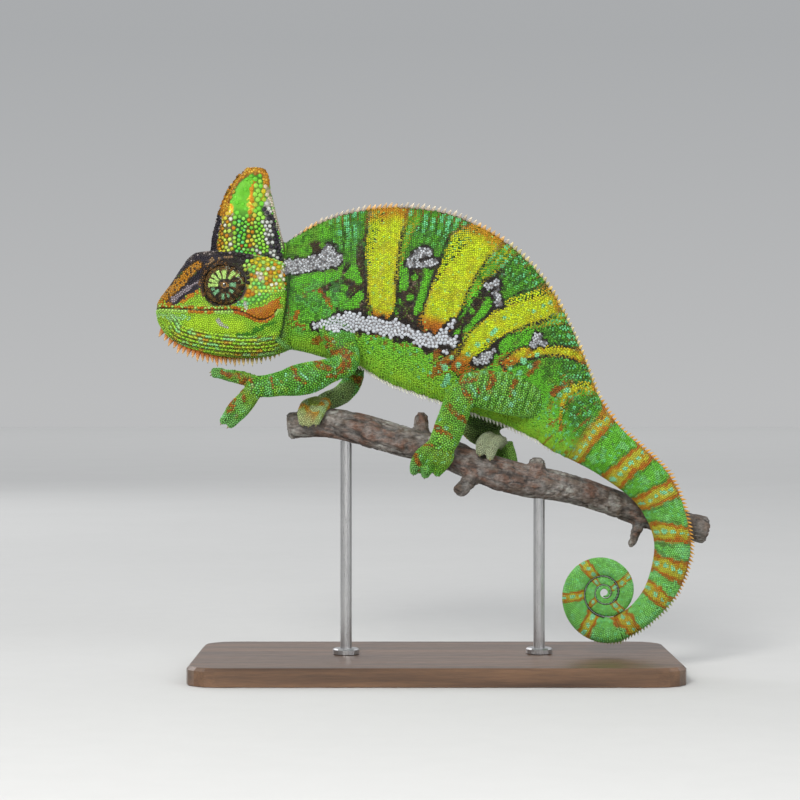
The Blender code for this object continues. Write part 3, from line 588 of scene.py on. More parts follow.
# ---------------------------------------------------------------- markings of the body
# Yellow bands: height on the flank (0 belly, 1 back), front edge and rear edge in stations.
BANDS = [
    [(0.30, 3.86, 3.90), (0.36, 3.66, 4.12), (0.43, 3.54, 4.32), (0.57, 3.46, 4.28), (0.75, 3.44, 4.38),
     (0.90, 3.55, 4.52), (1.0, 3.66, 4.60)],
    [(0.33, 5.30, 5.80), (0.39, 5.18, 6.12), (0.60, 5.46, 6.44), (0.72, 5.66, 6.68), (0.88, 5.96, 7.04),
     (1.0, 6.58, 7.46)],
    [(0.20, 6.15, 6.70), (0.27, 6.40, 7.16), (0.41, 6.72, 7.40), (0.54, 7.20, 8.02), (0.65, 7.58, 8.50),
     (0.78, 8.16, 9.02), (0.90, 8.66, 9.30), (1.0, 9.02, 9.48)],
    [(0.33, 7.80, 8.10), (0.42, 8.20, 8.50), (0.50, 8.52, 8.90), (0.58, 9.00, 9.24), (0.75, 9.70, 9.98),
     (0.90, 10.34, 10.66), (1.0, 10.66, 10.92)],
    [(0.24, 10.90, 11.15), (0.40, 10.48, 10.72), (0.56, 10.42, 10.70), (0.80, 11.0, 11.28),
     (1.0, 11.55, 11.86)],
]
# Side-view places and half widths of the pale side stripe and of the fingers at its rear end, in mm.
SIDE_STRIPE = [
    [(-53.8, 156.3, 1.2), (-48.1, 156.6, 2.4), (-42.4, 157.6, 3.4), (-35.2, 157.0, 3.6), (-26.5, 155.9, 3.2),
     (-19.3, 154.9, 3.6), (-12.1, 153.0, 3.0), (-6.4, 150.3, 2.6), (-1.3, 148.9, 3.2), (3.2, 150.0, 2.6)],
    [(3.2, 151.2, 1.3), (5.6, 154.2, 1.1), (8.2, 157.2, 0.6)],
    [(3.8, 149.9, 1.6), (8.1, 147.6, 1.2), (11.4, 149.0, 0.9)],
    [(4.6, 149.0, 1.4), (4.5, 144.6, 1.0)],
]
NAPE_BAR = [(-0.2, 0.76, 0.062), (0.92, 0.715, 0.056), (1.82, 0.705, 0.052), (2.50, 0.690, 0.044),
            (2.74, 0.690, 0.010)]
TAIL_BANDS = [12.35, 13.9, 15.4, 16.7, 18.0, 19.1, 20.5, 23.4, 26.2, 29.3, 33.8, 38.0, 42.5, 47.0, 52.0]


def run_length(s, t):
    """Millimetres for each station at height t, and the body's full height there."""
    f = spine_frame(s)
    return f["run_belly"] * (1 - t) + f["run_back"] * t, f["half"] * 2


def along_stripe(s, t, table, tall, rough):
    """Signed distance in mm to the edge of a lengthwise stripe; positive inside."""
    rows = np.array(table)
    middle = np.interp(s, rows[:, 0], rows[:, 1])
    half = np.interp(s, rows[:, 0], rows[:, 2], left=-0.2, right=-0.2)
    return (half - abs(t - middle)) * tall + rough


# Fold where the head meets the neck, in side view.
NECK_CREASE = [(-65.5, 179.0), (-65.9, 172.9), (-66.6, 166.1), (-67.9, 159.3), (-68.6, 154.6), (-69.6, 150.5),
               (-71.6, 148.5)]


def paint_crease_shade(col, x, z):
    """Painted shade in the fold where the head meets the neck and on the skin behind it, with a painted
    highlight below it.
    """
    fold, _ = line_distance(x, z, NECK_CREASE)
    gleam, _ = line_distance(x, z, [(-71.0, 149.9), (-68.2, 147.2), (-64.2, 144.8)])
    behind = x > np.interp(z, [148.5, 159.3, 179.0], [-71.0, -67.9, -65.5])
    col = lay(col, (0.030, 0.130, 0.012), ramp(3.4, 1.0, fold) * behind * 0.6)
    col = lay(col, (0.010, 0.034, 0.006), ramp(0.90, 0.35, fold) * 0.85)
    return lay(col, (0.20, 0.50, 0.13), ramp(1.5, 0.6, gleam) * 0.65)


# Side-view patches of the flank: a middle line in mm and half its width.
GREEN_PATCHES = [
    ([(-14.3, 182.9), (-14.0, 173.9)], 2.0), ([(-2.7, 179.8), (-5.3, 171.9), (-7.2, 163.7)], 1.8),
    ([(-43.0, 169.4), (-38.5, 164.6), (-33.8, 169.4)], 1.8), ([(-36.3, 181.5), (-34.3, 175.8)], 1.7),
    ([(-63.3, 175.3), (-54.6, 177.0), (-45.0, 178.1)], 2.1), ([(-41.1, 173.0)], 1.5),
    ([(-47.8, 170.2)], 1.5), ([(-9.3, 177.5)], 1.4), ([(-11.2, 168.5)], 1.7), ([(-16.6, 166.8)], 1.4),
    ([(-8.4, 161.8)], 1.1), ([(-56.8, 171.9), (-53.4, 168.5)], 2.2),
    ([(-51.8, 166.3), (-45.6, 165.2)], 1.7), ([(19.0, 172.9), (14.5, 167.1), (10.3, 160.0)], 1.9),
    ([(24.4, 167.1), (19.6, 159.4), (14.5, 153.3)], 1.8), ([(16.7, 162.6)], 1.4), ([(9.6, 152.9)], 1.5),
    ([(35.0, 152.3), (30.5, 145.9), (29.9, 142.0)], 2.2),
    ([(42.1, 153.6), (39.5, 146.5), (35.0, 143.3)], 2.2),
]
DARK_FIELDS = [
    ([(-33.8, 190.5), (-33.2, 183.2), (-31.5, 164.0)], 2.2),
    ([(-16.6, 192.7), (-18.0, 184.3), (-16.6, 165.2)], 1.6),
    ([(1.4, 183.2), (-1.1, 171.9), (-5.6, 157.8)], 1.6),
    ([(-10.4, 178.0), (-9.6, 171.0), (-11.4, 163.0)], 5.6),
    ([(-48.9, 171.3), (-41.1, 175.3), (-36.6, 173.0), (-37.1, 168.5)], 2.9),
    ([(-54.0, 192.2), (-52.3, 185.4)], 2.4), ([(-48.4, 191.0), (-47.8, 188.2)], 1.6),
    ([(-16.9, 158.4), (-10.7, 159.0), (-7.3, 155.0)], 3.1), ([(-41.1, 179.8), (-39.4, 183.2)], 0.9),
    ([(-45.0, 165.7), (-43.3, 162.3), (-32.6, 162.9)], 1.2),
    ([(16.4, 176.1), (10.0, 165.2), (6.1, 156.8)], 1.8), ([(26.7, 162.6), (19.0, 152.3)], 1.6),
    ([(20.6, 168.2), (14.9, 159.5), (8.7, 153.5)], 5.0), ([(29.9, 179.9), (22.2, 175.4)], 1.3),
    ([(-2.9, 145.9), (4.8, 146.5)], 2.9),
    ([(42.8, 156.8), (36.3, 156.2), (29.9, 151.7), (28.0, 145.9)], 1.3),
    ([(52.4, 170.3), (33.8, 166.4)], 0.8), ([(44.0, 156.8), (51.8, 160.0)], 0.9),
]
RUST_PATCHES = [
    ([(-59.1, 170.2), (-58.2, 169.7)], 0.8), ([(-54.3, 171.6), (-54.0, 171.1)], 0.7),
    ([(-52.0, 171.6), (-48.9, 168.0), (-47.0, 165.2)], 0.8), ([(-62.2, 161.6), (-62.6, 158.8)], 0.7),
    ([(-62.2, 156.6), (-60.4, 155.4), (-58.6, 156.4)], 0.7),
    ([(-53.4, 149.4), (-48.9, 152.2), (-45.0, 148.8)], 1.7), ([(-31.5, 197.8), (-30.9, 193.3)], 0.6),
    ([(-11.2, 150.0), (-5.6, 148.3)], 1.2),
    ([(16.4, 147.8), (10.0, 143.3), (4.2, 139.4), (-0.3, 134.3)], 2.3),
    ([(33.1, 138.8), (37.6, 142.0), (42.1, 143.3)], 1.2), ([(31.2, 136.2), (33.8, 139.4)], 1.0),
    ([(53.0, 125.9), (61.4, 130.4)], 1.2), ([(46.6, 139.4), (42.1, 134.3)], 1.0),
    ([(35.0, 133.7), (37.6, 130.4)], 1.4), ([(-29.0, 152.6), (-24.0, 151.0)], 0.9),
]
GREY_MARKS = [
    ([(-11.2, 184.4), (-6.4, 183.8), (-0.3, 184.4)], 1.5), ([(-7.8, 187.0), (-3.8, 188.9)], 2.1),
    ([(24.6, 173.4), (28.2, 175.3)], 1.5), ([(28.4, 175.3), (27.4, 170.5), (29.0, 165.2)], 1.3),
    ([(18.6, 139.2), (22.4, 140.9)], 1.2), ([(21.6, 140.8), (24.6, 142.6)], 1.9),
    ([(24.6, 142.6), (27.0, 145.2)], 1.2), ([(44.3, 147.3), (46.4, 151.0)], 1.1),
    ([(45.6, 149.4), (49.0, 148.2)], 0.8),
]
GREY_HOLES = [([(-3.6, 186.7), (-6.6, 185.2)], 0.9), ([(-9.4, 184.9)], 0.7), ([(27.4, 172.6)], 0.8)]
PALE_DOTS = [
    ([(14.8, 143.0)], 1.1), ([(10.6, 138.2)], 1.3), ([(7.4, 141.4)], 1.0), ([(4.5, 136.9)], 1.4),
    ([(6.1, 133.0), (3.9, 129.2)], 1.2), ([(19.3, 147.2)], 1.1), ([(39.9, 140.1)], 1.4),
    ([(33.8, 136.9)], 1.1), ([(38.2, 134.9), (37.0, 133.0)], 1.1), ([(42.8, 137.5)], 1.1),
    ([(46.0, 142.7)], 1.1), ([(59.5, 126.9)], 1.2), ([(56.2, 124.7)], 1.1), ([(52.1, 166.1)], 0.8),
    ([(48.9, 164.8)], 0.7), ([(31.2, 159.4)], 0.8), ([(27.3, 154.2), (25.7, 152.3)], 0.8),
    ([(23.8, 149.1)], 0.8), ([(44.4, 162.3)], 0.8),
]
# How far the rows of flecks below the back lean forwards, in stations from back to belly.
ROW_LEAN = [
    (1.0, 0.0), (3.0, 0.0), (4.1, 0.3), (7.0, 2.2), (9.25, 3.4), (10.8, 3.6), (11.8, 2.0), (13.0, 0.6),
    (22.0, 0.2),
]


def row_place(s, t):
    """Millimetres along the back of the leaning row that a point lies on."""
    lean = np.array(ROW_LEAN)
    q = s.copy()
    for _ in range(6):
        q = 0.5 * q + 0.5 * (s + np.interp(q, lean[:, 0], lean[:, 1]) * (1.0 - t))
    arc = np.concatenate([[0.0], np.cumsum(np.hypot(np.diff(SPINE[:, 0]), np.diff(SPINE[:, 1])))])
    return np.interp(q, np.arange(len(SPINE)), arc)


def ribbon_reach(x, z, rows):
    """How far side-view points lie inside a ribbon of places and half widths, in mm."""
    reach = np.full(len(x), -99.0)
    for (x0, z0, h0), (x1, z1, h1) in zip(rows, rows[1:]):
        dx, dz = x1 - x0, z1 - z0
        f = np.clip(((x - x0) * dx + (z - z0) * dz) / (dx * dx + dz * dz), 0, 1)
        reach = np.maximum(reach, h0 + (h1 - h0) * f - np.hypot(x - x0 - dx * f, z - z0 - dz * f))
    return reach


def stripe_reach(points):
    """How far points lie inside the pale side stripe, in mm."""
    x, z = side_view(points)
    rough = (noise(points, 2.6, 4) - 0.5) * 3.0 + (noise(points, 1.3, 6) - 0.5) * 1.8
    return np.max([ribbon_reach(x, z, rows) for rows in SIDE_STRIPE], axis=0) + rough


def grey_reach(s, t, points):
    """How far points lie inside the grey bar behind the casque and the grey marks of the flank, in mm."""
    run, tall = run_length(s, t)
    x, z = side_view(points)
    rough = (noise(points, 2.2, 4) - 0.5) * 2.0 + (noise(points, 1.1, 1) - 0.5) * 1.4
    bar = along_stripe(s, t, NAPE_BAR, tall, rough)
    bump = 2.6 - np.hypot((s - 2.24) * run, (t - 0.765) * tall) + rough
    marks = patch_reach(x, z, GREY_MARKS) + rough * 0.9
    return np.max([bar, bump, marks], axis=0)


def back_rows(col, s, t, below, drift):
    """Upright rows of pale flecks below the back with dark lines between them."""
    pitch = 3.7
    row = row_place(s, t) / pitch + 0.10 * np.sin(below * 0.45)
    index = np.floor(row)
    across = row - index - 0.5
    shift = lattice_value(np.stack([index, index * 0, index * 0], axis=1), 27)
    down = below / 3.2 + shift
    level = np.floor(down)
    own = lattice_value(np.stack([index, level, index * 0], axis=1), 28)
    fleck = np.hypot(across * pitch / (0.85 + 0.35 * own), (down - level - 0.5) * 3.2 / (1.0 + 0.7 * own))
    high = ramp(24.0, 15.0, below) * ramp(2.0, 2.8, s) * ramp(12.6, 11.6, s)
    groove = (0.5 - abs(across)) * pitch + (drift - 0.5) * 0.9
    col = lay(col, (0.020, 0.050, 0.008), high * ramp(0.75, 0.25, groove) * (0.35 + 0.6 * own))
    col = lay(col, RUST, high * ramp(0.65, 0.2, groove) * ramp(8.0, 3.0, below) * 0.5)
    strength = ramp(0.18, 0.35, own) * (0.65 + 0.35 * own) * ramp(22.0, 11.0, below + 6.0 * own)
    return lay(col, TURQUOISE, high * ramp(1.25, 0.75, fleck) * np.maximum(strength, 0.25 * (own > 0.7)))


def paint_bands(col, s, t, points, run, tall, wobble, spread):
    """Yellow bands with dark outlines, orange at the back and rusty at the foot."""
    fine, small, drift = noise(points, 1.1, 1), noise(points, 3.0, 2), noise(points, 2.2, 4)
    for number, rows in enumerate(BANDS):
        rows = np.array(rows)
        front = np.interp(t, rows[:, 0], rows[:, 1])
        rear = np.interp(t, rows[:, 0], rows[:, 2])
        outside = np.minimum(t - rows[0, 0], 0.0) * tall * 1.6
        reach = np.minimum(np.minimum(s - front, rear - s) * run, 99.0) + outside + wobble * 0.5
        flank = ramp(0.93, 0.84, t)
        dark = ramp(-2.2, -1.3, reach) * ramp(0.4, -0.3, reach) * (number < 4)
        col = lay(col, DARK, dark * flank * (0.6 + 0.4 * ramp(0.3, 0.5, fine)))
        col = lay(col, RUST, dark * (1 - flank) * 0.8)
        inside = ramp(-0.35, 0.25, reach + spread)
        foot = rows[0, 0]
        band = plain(YELLOW, len(s))
        band = lay_all(band, [
            (DEEP_YELLOW, ramp(0.5, 0.75, small) * 0.4),
            (DEEP_YELLOW, ramp(1.3, 0.5, reach) * 0.7),
            (ORANGE, ramp(0.88, 0.975, t + 0.05 * (small - 0.5)) * 0.85),
            (FLAME, ramp(0.90, 0.96, t) * ramp(0.60, 0.72, fine) * 0.5),
            (ORANGE, ramp(foot + 0.13, foot + 0.06, t)),
            (FLAME, ramp(foot + 0.09, foot + 0.03, t + 0.03 * (drift - 0.5)) * 0.75),
        ])
        if number >= 3:
            band = lay(band, ORANGE, 0.25 + 0.45 * (small > 0.55))
        fleck, _ = spots(row_place(s, t), t * tall, 3.9, 0.55, 41 + number, 0.75)
        band = lay(band, (0.24, 0.52, 0.11), fleck * 0.75)
        band = band * (0.88 + 0.24 * fine)[:, None]
        col = col * (1 - inside[:, None]) + band * inside[:, None]
    return col


def paint_tail(col, s, t, points, run, tall):
    """Paired rust lines round yellow rings with mint spots, bright green between the rings, painted shade
    where the coil's turns touch.
    """
    fine, small, drift = noise(points, 1.1, 1), noise(points, 3.0, 2), noise(points, 2.2, 4)
    bend = noise(points, 5.5, 44)
    green = lay(plain(GRASS, len(s)), BELLY_GREEN, ramp(0.3, 0.7, small))
    rows = 0.5 + 0.5 * np.cos(row_place(np.minimum(s, 21.0), t) * 2 * math.pi / 2.6 + 4.0 * bend)
    green = lay_all(green, [
        ((0.035, 0.15, 0.012), ramp(0.80, 0.97, rows) * ramp(0.4, 0.6, drift) * 0.8 * ramp(19.2, 17.8, s)),
        ((0.19, 0.50, 0.16), ramp(13.5, 18.0, s) * 0.45),
        ((0.20, 0.54, 0.19), ramp(0.50, 0.75, drift) * 0.55),
    ])
    dot, own = spots(s * STATION, t * tall, 2.9, 0.7, 51, 0.8)
    green = lay(green, TURQUOISE, dot * (own > 0.3) * 0.55)
    ring = np.full(len(s), 99.0)
    side = np.zeros(len(s))
    for number, centre in enumerate(TAIL_BANDS):
        lean = 0.35 * (0.5 - t) * (s < 20.0) + 0.10 * (t - 0.5)
        d = (s - centre + lean) * run + 2.4 * (bend - 0.5) * (1.0 - 0.6 * (s > 21))
        d = d * (1.0 + 0.25 * lattice_value(np.array([[number, 0, 0]]), 45)[0])
        side = np.where(abs(d) < ring, d, side)
        ring = np.minimum(ring, abs(d))
    wide = np.clip(tall * 0.25, 1.1, 4.0)
    ring = ring / wide + (drift - 0.5) * 0.55
    green = lay_all(green, [
        (DEEP_YELLOW, ramp(1.05, 0.85, ring) * 0.9),
        ((0.37, 0.37, 0.03), ramp(0.8, 0.5, ring) * 0.85),
        (ORANGE, ramp(0.95, 0.7, ring) * ramp(0.50, 0.66, small * 0.5 + drift * 0.5) * 0.6),
    ])
    level = t * tall / 3.6 + 0.35 * (bend - 0.5)
    mint = np.hypot((level - np.floor(level) - 0.5) * 3.6 / 1.15, side / 0.95) + (drift - 0.5) * 0.8
    green = lay(green, (0.20, 0.55, 0.30), ramp(1.2, 0.8, mint) * ramp(0.9, 0.7, ring))
    rust = ramp(0.58, 0.80, ring) * ramp(1.28, 1.08, ring)
    green = lay_all(green, [
        ((0.33, 0.105, 0.008), rust * (0.75 + 0.25 * ramp(0.35, 0.5, fine))),
        ((0.42, 0.19, 0.012), rust * ramp(0.6, 0.75, small) * 0.7),
        (BROWN, ramp(1.20, 1.30, ring) * ramp(1.55, 1.40, ring) * 0.5 * ramp(19.0, 17.0, s)),
        (FLAME, ramp(0.90, 0.97, t) * 0.6 * ramp(1.7, 1.2, ring) * (s < 19)),
        # painted shade where neighbouring turns of the coil touch
        (DARK, coil_contact(s, t, 0.035) * 0.9),
    ])
    green = green * (0.86 + 0.28 * fine)[:, None]
    tail = ramp(11.9, 12.3, s)
    return col * (1 - tail[:, None]) + green * tail[:, None]


def body_paint(s, t, points, spread=0.0):
    """Colour of the neck, trunk and tail at stations s and heights t; spread widens the yellow bands."""
    run, tall = run_length(s, t)
    x, z = side_view(points)
    u, v, below = s * STATION, t * tall, (1.0 - t) * tall
    fine, small = noise(points, 1.1, 1), noise(points, 3.0, 2)
    wide, drift = noise(points, 9.0, 3), noise(points, 2.2, 4)
    tiny = noise(points, 0.75, 8)
    wobble = (drift - 0.5) * 1.3 + (fine - 0.5) * 1.0
    trunk = ramp(12.4, 11.4, s)

    col = plain(BELLY_GREEN, len(s))
    col = lay(col, LIME, ramp(0.22, 0.02, t) * (0.25 + 0.6 * small))
    grain = 0.5 + 0.5 * np.sin((u * 0.55 + v * 0.85) * 3.1)
    col = lay_all(col, [
        (LIME, ramp(0.32, 0.2, t) * grain * 0.35),
        (GRASS, ramp(0.28, 0.36, t)),
        (MOSS, ramp(0.40, 0.48, t) * ramp(0.35, 0.7, small * 0.5 + wide * 0.5) * 0.8),
        (BACK_GREEN, ramp(30.0, 18.0, below + 8 * (wide - 0.5)) * ramp(2.0, 3.0, s)),
        ((0.025, 0.09, 0.010), ramp(0.34, 0.44, t) * ramp(0.55, 0.72, drift) * 0.65 * trunk),
    ])

    # dark net between the bands, opened by long green patches
    field = patch_mask(x, z, DARK_FIELDS, wobble)
    col = lay_all(col, [
        (BROWN, field),
        (DARK, field * ramp(0.45, 0.62, drift) * 0.85),
        ((0.20, 0.15, 0.10), field * ramp(0.72, 0.82, fine) * 0.5),
        (MOSS, field * ramp(0.64, 0.76, tiny) * 0.45),
        ((0.100, 0.400, 0.018), patch_mask(x, z, GREEN_PATCHES, wobble * 0.6)),
    ])
    col = back_rows(col, s, t, below, drift)

    # neck: dark-edged tiles, rusty blotches, pale turquoise behind the head
    neck = ramp(3.0, 2.2, s) * ramp(0.10, 0.2, t) * ramp(0.62, 0.52, t)
    col = lay(col, (0.11, 0.42, 0.09), neck * ramp(0.5, 0.66, small * 0.5 + drift * 0.5) * 0.6)
    col = lay(col, (0.030, 0.110, 0.012), neck * ramp(0.56, 0.70, tiny) * 0.7)
    rust = patch_mask(x, z, RUST_PATCHES, wobble * 1.6 + (tiny - 0.5) * 1.2)
    col = lay(col, RUST, rust * (0.75 + 0.25 * fine))
    col = lay(col, ORANGE, rust * ramp(0.62, 0.76, tiny) * 0.7)

    # small pale and rust spots under the stripe and on the lower flank
    dot, own = spots(u, v, 3.5, 0.75, 31, 0.7)
    low = ramp(0.30, 0.24, t) * ramp(0.03, 0.12, t) * trunk * ramp(2.8, 3.6, s)
    col = lay(col, TURQUOISE, low * dot * (own > 0.45) * 0.8)
    col = lay(col, RUST, low * dot * (own <= 0.45) * ramp(0.14, 0.22, t) * 0.85)
    edge = ramp(0.18, 0.23, t) * ramp(0.31, 0.26, t) * trunk * ramp(2.2, 3.0, s)
    col = lay(col, RUST, edge * ramp(0.52, 0.64, small * 0.5 + drift * 0.5) * ramp(9.0, 7.0, s) * 0.9)

    col = paint_bands(col, s, t, points, run, tall, wobble, spread)
    col = lay(col, (0.19, 0.55, 0.27), patch_mask(x, z, PALE_DOTS, wobble * 0.4))

    # dark-edged nets of the pale side stripe and the grey marks, which carry larger tiles
    reach = np.maximum(stripe_reach(points), grey_reach(s, t, points))
    col = lay_all(col, [
        (DARK, ramp(-1.7, -0.8, reach)),
        ((0.27, 0.27, 0.29), ramp(-0.1, 0.5, reach)),
        (DARK, patch_mask(x, z, GREY_HOLES, wobble * 0.3)),
    ])

    # hip: flecks and short rust lines run down into the tail
    hip = ramp(9.6, 10.4, s) * ramp(0.75, 0.6, t)
    dot, own = spots(u, v, 3.3, 0.85, 51, 0.8)
    streak = 0.5 + 0.5 * np.sin(row_place(s, t) * 1.35 + (wide - 0.5) * 5)
    col = lay(col, RUST, hip * ramp(0.80, 0.96, streak) * ramp(0.40, 0.60, small) * 0.75)
    col = lay(col, TURQUOISE, hip * dot * (own > 0.3) * 0.8)
    # painted shade of the fold between head and neck, with a painted highlight below it
    col = paint_crease_shade(col, x, z)
    col = col * (0.86 + 0.28 * fine)[:, None]
    return paint_tail(col, s, t, points, run, tall)


# ---------------------------------------------------------------- places on the head
HEAD, JAW, CASQUE = range(3)         # kinds of head skin, in the order of HEAD_NODES
MOUTH_LOBE = [(-87.0, 162.2), (-77.1, 164.8), (-69.6, 169.0), (-70.6, 163.3), (-75.6, 157.0), (-81.6, 158.0),
              (-85.6, 160.6)]
EYE_LOW, EYE_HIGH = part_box("eye_left")
EYE_X = (EYE_LOW.x + EYE_HIGH.x) / 2 / MM
EYE_Z = (EYE_LOW.z + EYE_HIGH.z) / 2 / MM
EYE_RX = (EYE_HIGH.x - EYE_LOW.x) / 2 / MM
EYE_RZ = (EYE_HIGH.z - EYE_LOW.z) / 2 / MM
EYE_RY = (EYE_HIGH.y - EYE_LOW.y) / MM / 1.93
EYE_Y = -EYE_LOW.y / MM - 1.03 * EYE_RY


def eye_distance(points):
    """Distance from the eye's middle in side view, 1 at the rim of its turret."""
    return np.hypot((points[:, 0] - EYE_X) / EYE_RX, (points[:, 2] - EYE_Z) / EYE_RZ)


def mouth_height(x):
    """Height of the mouth line."""
    rows = np.array(MOUTH)
    return np.interp(x, rows[:, 0], rows[:, 1])


def casque_front(z):
    """Front edge of the casque's side plates."""
    return np.interp(z, [185, 190.5, 196.7, 205.7, 212.4, 217.8, 222.3, 225.5],
                     [-98.0, -97.4, -96.6, -94.6, -92.6, -90.0, -87.4, -85.0])


# ---------------------------------------------------------------- markings of the head
BAND_MIDDLE = [
    (-121.4, 169.2), (-118.0, 172.2), (-114.6, 175.6), (-111.2, 179.3), (-108.2, 182.0), (-106.8, 183.0),
]
CROWN_EDGE = [
    (-124.0, 169.6), (-121.9, 171.0), (-117.5, 175.4), (-113.2, 180.8), (-107.0, 184.6), (-101.0, 186.0),
    (-90.0, 186.8), (-84.0, 185.6),
]
UNDER_BAND = [
    (-118.3, 167.1), (-114.6, 170.9), (-110.2, 174.2), (-106.1, 176.9), (-103.1, 180.3), (-102.1, 183.0),
]
BEHIND_EYE = [([(-92.3, 186.4), (-87.2, 185.2), (-82.8, 183.6)], 1.9),
              ([(-86.0, 183.0), (-84.2, 179.0), (-85.4, 175.3)], 1.9)]
BROW_SHADE = [
    ([(-94.0, 186.2), (-89.4, 185.6), (-87.0, 185.6)], 2.2),
    ([(-101.7, 184.6), (-96.7, 186.6), (-91.3, 186.6)], 1.4),
]
# Marks of the face, the jaw and the casque: colour, share of the scales that take it, strokes.
FACE_MARKS = [
    (ORANGE, 0.85, [([(-86.0, 170.7), (-81.8, 170.2)], 1.3)]),
    (ORANGE, 0.55,
     [([(-81.8, 178.3), (-79.1, 181.0)], 1.5), ([(-75.7, 180.7), (-73.0, 180.0)], 1.4),
      ([(-76.4, 174.2), (-74.3, 176.3)], 1.5)]),
    ((0.52, 0.50, 0.42), 0.8,
     [([(-79.4, 179.0), (-77.7, 176.9)], 1.1), ([(-68.9, 180.3), (-67.2, 176.9)], 1.0)]),
    ((0.17, 0.52, 0.10), 1.0, [([(-80.8, 174.9), (-77.7, 173.6)], 1.3)]),
    (DARK, 0.50, BEHIND_EYE),
    (DARK, 0.93, BROW_SHADE),
    ((0.12, 0.42, 0.06), 0.9, [([(-82.5, 180.0)], 1.2)]),
    ((0.15, 0.50, 0.06), 0.9, [([(-88.5, 166.0), (-83.1, 167.3), (-79.1, 168.3), (-75.7, 169.3)], 1.5)]),
    ((0.17, 0.50, 0.20), 0.5, [([(-88.5, 166.0), (-84.5, 166.3)], 1.3)]),
    ((0.42, 0.45, 0.42), 1.0, [([(-88.2, 171.5), (-86.5, 168.1), (-84.8, 163.6)], 0.6)]),
    (PLUM, 1.0,
     [(UNDER_BAND, 3.0), ([(-105.4, 180.9), (-102.6, 182.6), (-98.0, 185.4)], 2.6),
      ([(-106.2, 185.0), (-103.4, 185.6)], 1.5)]),
    (PLUM, 0.8, [([(-116.6, 166.5), (-113.6, 168.1), (-109.5, 170.9), (-105.6, 173.6)], 1.1)]),
    (BROWN, 1.0, [(BAND_MIDDLE, 2.5)]),
    (ORANGE, 0.76, [(BAND_MIDDLE, 2.0)]),
    ((0.36, 0.20, 0.04), 0.3, [(BAND_MIDDLE, 1.9)]),
    (LILAC, 1.0,
     [([(-118.0, 167.6), (-114.9, 170.0)], 1.15), ([(-114.9, 170.0), (-110.9, 172.9)], 0.95),
      ([(-110.9, 172.9), (-106.8, 175.5)], 0.5)]),
    ((0.44, 0.18, 0.012), 0.85,
     [([(-113.9, 166.7), (-110.5, 168.8), (-106.8, 170.8), (-104.8, 171.2)], 1.0)]),
    (ORANGE, 0.75,
     [([(-125.0, 164.0), (-122.6, 167.6)], 2.2), ([(-120.0, 166.0)], 1.6), ([(-118.0, 163.6)], 0.9)]),
    ((0.24, 0.15, 0.07), 0.5,
     [([(-103.4, 183.0), (-100.1, 185.6)], 0.9), ([(-100.1, 185.6), (-91.3, 187.2)], 0.6)]),
    ((0.22, 0.10, 0.025), 0.8,
     [([(-103.4, 167.8), (-105.0, 170.9), (-105.6, 174.2), (-104.4, 177.6)], 0.8)]),
]
JAW_MARKS = [
    # painted shade: dark green lines in the jaw's folds
    ((0.05, 0.22, 0.012), 0.9,
     [([(-88.5, 151.6), (-81.8, 152.6), (-77.7, 154.6)], 0.8),
      ([(-81.8, 154.3), (-77.7, 155.6), (-71.6, 157.3)], 0.5)]),
    ((0.27, 0.58, 0.20), 0.6, [([(-124.4, 160.2), (-118.3, 159.8), (-110.6, 159.3)], 1.1)]),
    ((0.36, 0.38, 0.32), 1.0,
     [([(-97.7, 158.3), (-96.0, 156.3)], 0.9), ([(-96.0, 156.3), (-93.3, 154.9)], 0.6)]),
]
CASQUE_EDGE = [(-95.9, 208.1), (-95.3, 212.1), (-93.3, 217.5), (-89.9, 222.4), (-86.2, 225.5), (-81.8, 227.2),
               (-77.7, 226.9), (-75.4, 224.3), (-74.7, 220.9)]
CASQUE_SEAM = [(-82.7, 212.8), (-82.5, 208.1), (-83.0, 202.0), (-83.4, 196.6), (-82.5, 192.5)]
CASQUE_COLUMN = [(-94.6, 208.1), (-94.3, 201.3), (-94.3, 193.9), (-94.8, 187.0)]
